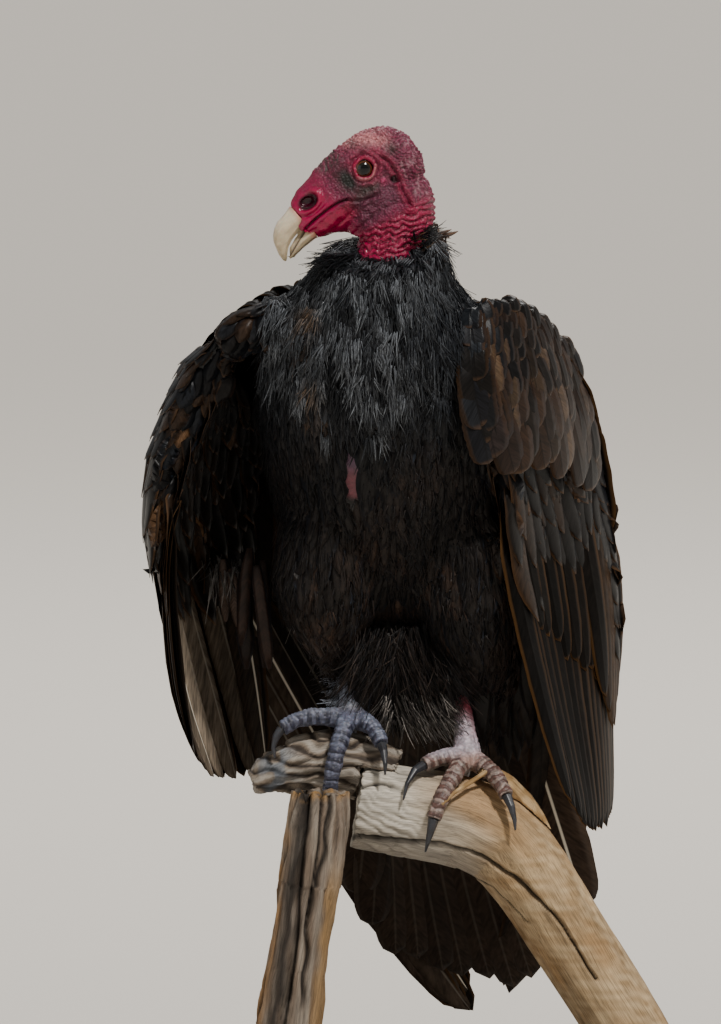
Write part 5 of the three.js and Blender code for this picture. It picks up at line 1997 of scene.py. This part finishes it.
tail_groups = []
for k in range(12):
    place = k / 11
    outermost = k == 11
    tail_groups.append(
        slats(
            tail_at,
            -1,
            1,
            root=(0.18 + (0.8 if outermost else 0.64) * place, 0.0, 0.03),
            tip=(0.03 + 0.945 * place, 0.0, [1.0]),
            half=16,
            tilt=0.05 if place > 0.5 else -0.05,
            seed=110 + k,
            lift=-3.2 + 6.4 * abs(place - 0.5) * 2,
            colour=["#382c23" if outermost else "#271e17"],
            edge=0.45,
            shafts=1.0 if outermost else 0.03,
        )
    )
tail_feather = feather_finish("tail_feather", 0.5, "#4d3c2c", "#e4dac6", "#a8a8a8", 70, 0.02, 0.12)
coat_piece("tail_feathers", tail_groups, tail_feather, "flight_feathers", "tail")

# ---------------------------------------------------------------- legs and feet
# Bare scaled legs with long slim toes, grey-white with powder at the tarsus, and dark blunt claws. The scales
# run round the toes as rings.

DIGITS = [f"{side}_{toe}" for side in ("left", "right") for toe in ("middle", "inner", "outer", "hind")]
FEET = ["tarsus_left", "tarsus_right"] + ["toe_" + digit for digit in DIGITS]
# The toes' lines, from the foot out to the claws, with the left foot's four first.
TOE_LINES = [
    [(46, -2, 235), (39, -19, 229), (31, -30, 216), (26, -34, 203)],
    [(42, -1, 236), (31, -9, 237), (20, -15, 233)],
    [(51, -1, 234), (62, -13, 228), (70, -25, 216)],
    [(46, 4, 234), (44, 18, 229), (43, 27, 219)],
    [(-25, -1, 260), (-28, -13, 254), (-32, -21, 242), (-35, -23, 228), (-36, -22, 218)],
    [(-27, 2, 259), (-40, -2, 261), (-54, -4, 260), (-65, -6, 254)],
    [(-19, 1, 259), (-10, -8, 255), (-5, -18, 246)],
    [(-24, 6, 258), (-25, 20, 253), (-25, 28, 243)],
]
SCUTE = 2.7
feet_mesh = evened("feet_skin", [points_of(node) for node in FEET], 0.6, 12)
corners = places(feet_mesh)
normals = corner_normals(feet_mesh)
x, y, z = corners.T
left = rise(5, 12, x)
run_out = np.zeros(len(x))
closest = np.full(len(x), 1e9)
for line in TOE_LINES:
    s_at, _, off = along_line(corners, line)
    nearer = off < closest
    run_out[nearer] = s_at[nearer]
    closest[nearer] = off[nearer]
toe = rise(4, 9, run_out) * rise(12, 8, closest)
tarsus = rise(236, 243, np.where(x > 5, z, z - 27))
# Scutes ring the upper face of each toe; below they break up into small round scales.
upper = rise(-0.5, 0.2, normals[:, 2] - 0.5 * normals[:, 1])
wave = np.sin((run_out + 0.5 * waves(corners, 9, 134)) * math.pi / SCUTE)
ring = np.abs(wave) ** 0.5
pebbles = waves(corners, 2.6, 132)
blush = rise(254, 268, z) + 0.5 * bump_at(x, 52, 4) * rise(240, 262, z)
tint = dyed(
    "#6b5d57",
    len(x),
    ("#b08f84", left * (1 - toe) * 0.8),
    ("#5b3329", toe * left * upper * (0.5 + 0.5 * np.sign(wave)) * 0.65),
    ("#a08a80", toe * left * upper * (0.5 - 0.5 * np.sign(wave)) * 0.6),
    # The right foot's colours are a shaded copy of the left's: its blue-grey skin and dark blue-purple rings
    # are painted shade.
    ("#5a6076", (1 - left) * (1 - tarsus) * 0.85),
    ("#1d1c30", (1 - left) * toe * upper * (0.5 + 0.5 * np.sign(wave)) * 0.85),
    # The tops of the right toes are paler blue: painted highlight.
    ("#8f95a8", (1 - left) * toe * rise(0.3, 0.9, normals[:, 2]) * 0.5),
    # Dark between the scutes: painted shade in their grooves.
    ("#1d1c22", toe * (1 - ring) ** 3 * 0.8 * upper),
    ("#b4a9b3", tarsus * left * 0.9),
    ("#a32a40", left * tarsus * np.clip(blush, 0, 1) * 0.85),
    # The right tarsus is greyer than the left: painted shade.
    ("#8b8f9c", tarsus * (1 - left) * 0.9),
)
tint *= (1 + 0.16 * waves(corners, 6, 131) + 0.1 * pebbles)[:, None]
store_tint(feet_mesh, np.clip(tint, 0, 1))
store(feet_mesh, "wet", np.full(len(x), 0.2), "FLOAT")
relief = toe * upper * 0.85 * (ring - 1) + (1 - toe * upper) * 0.16 * (pebbles - 1.2)
relief -= 0.5 * toe * (0.5 + 0.5 * np.cos(run_out * 2 * math.pi / 15))
put(feet_mesh, corners + normals * relief[:, None])
piece("scaled_feet", feet_mesh, bare_skin("foot_scale", 420, 0.0006), "foot_scales", *FEET)

# The claws are blunt dark horn, one at the end of each toe.

CLAWS = ["claw_" + digit for digit in DIGITS]
claw_mesh = evened("claw_horn", [points_of(node) for node in CLAWS], 0.4, 6)
corners = places(claw_mesh)
claw_tint = np.tile(hue("#2b2b2f"), (len(corners), 1)) * (1 + 0.25 * waves(corners, 6, 133))[:, None]
store_tint(claw_mesh, np.clip(claw_tint, 0, 1))
store(claw_mesh, "lay", corners)
piece("dark_claws", claw_mesh, horny("claw_horn", 0.35, 0.9, 0.7, 1.25), "claws", *CLAWS)

# ---------------------------------------------------------------- studio
# A pale plain floor that runs far back, under soft daylight-coloured lamps, with a long lens at the height
# of the bird's breast.

floor_mesh = bpy.data.meshes.new("floor")
FLOOR = 60.0
floor_mesh.from_pydata(
    [(-FLOOR, -FLOOR, 0), (FLOOR, -FLOOR, 0), (FLOOR, FLOOR, 0), (-FLOOR, FLOOR, 0)], [], [(0, 1, 2, 3)]
)
floor = bpy.data.objects.new("floor", floor_mesh)
scene.collection.objects.link(floor)
floor_paint, tree, surface = finish_named("floor_paint", 0.85, 0.2)
surface.inputs["Base Color"].default_value = paint("#d3cec6")
floor_mesh.materials.append(floor_paint)

world = bpy.data.worlds.new("studio_air")
world.use_nodes = True
world.node_tree.nodes["Background"].inputs["Color"].default_value = paint("#dcdad6")
world.node_tree.nodes["Background"].inputs["Strength"].default_value = 0.45
scene.world = world

AIM = Vector((-17.7, 0, 384.3)) * MM
for name, place, size, power, tint in (
    ("fill_lamp", (-2.6, -2.4, 1.3), 2.2, 12, (0.95, 0.97, 1.0)),
    ("rim_lamp", (0.6, 2.4, 2.8), 1.4, 60, (1.0, 0.98, 0.95)),
):
    light = bpy.data.lights.new(name, "AREA")
    light.size = size
    light.energy = power
    light.color = tint
    lamp = bpy.data.objects.new(name, light)
    lamp.location = place
    lamp.rotation_euler = (AIM - lamp.location).to_track_quat("-Z", "Y").to_euler()
    scene.collection.objects.link(lamp)
sky_light = bpy.data.lights.new("key_lamp", "SUN")
sky_light.energy = 3.1
sky_light.angle = math.radians(7)
sky_light.color = (1.0, 0.97, 0.93)
key = bpy.data.objects.new("key_lamp", sky_light)
key.rotation_euler = Vector((-0.45, 0.75, -1.15)).to_track_quat("-Z", "Y").to_euler()
scene.collection.objects.link(key)

CAMERA_RISE = math.radians(6)
CAMERA_AWAY = 6.0
lens = bpy.data.cameras.new("camera")
lens.sensor_width = 36
lens.lens = 351.56
lens.clip_end = 200
camera = bpy.data.objects.new("camera", lens)
camera.location = AIM + Vector((0, -math.cos(CAMERA_RISE), math.sin(CAMERA_RISE))) * CAMERA_AWAY
camera.rotation_euler = (AIM - camera.location).to_track_quat("-Z", "Y").to_euler()
scene.collection.objects.link(camera)
scene.camera = camera

# ---------------------------------------------------------------- update
# The view layer is brought up to date.

bpy.context.view_layer.update()
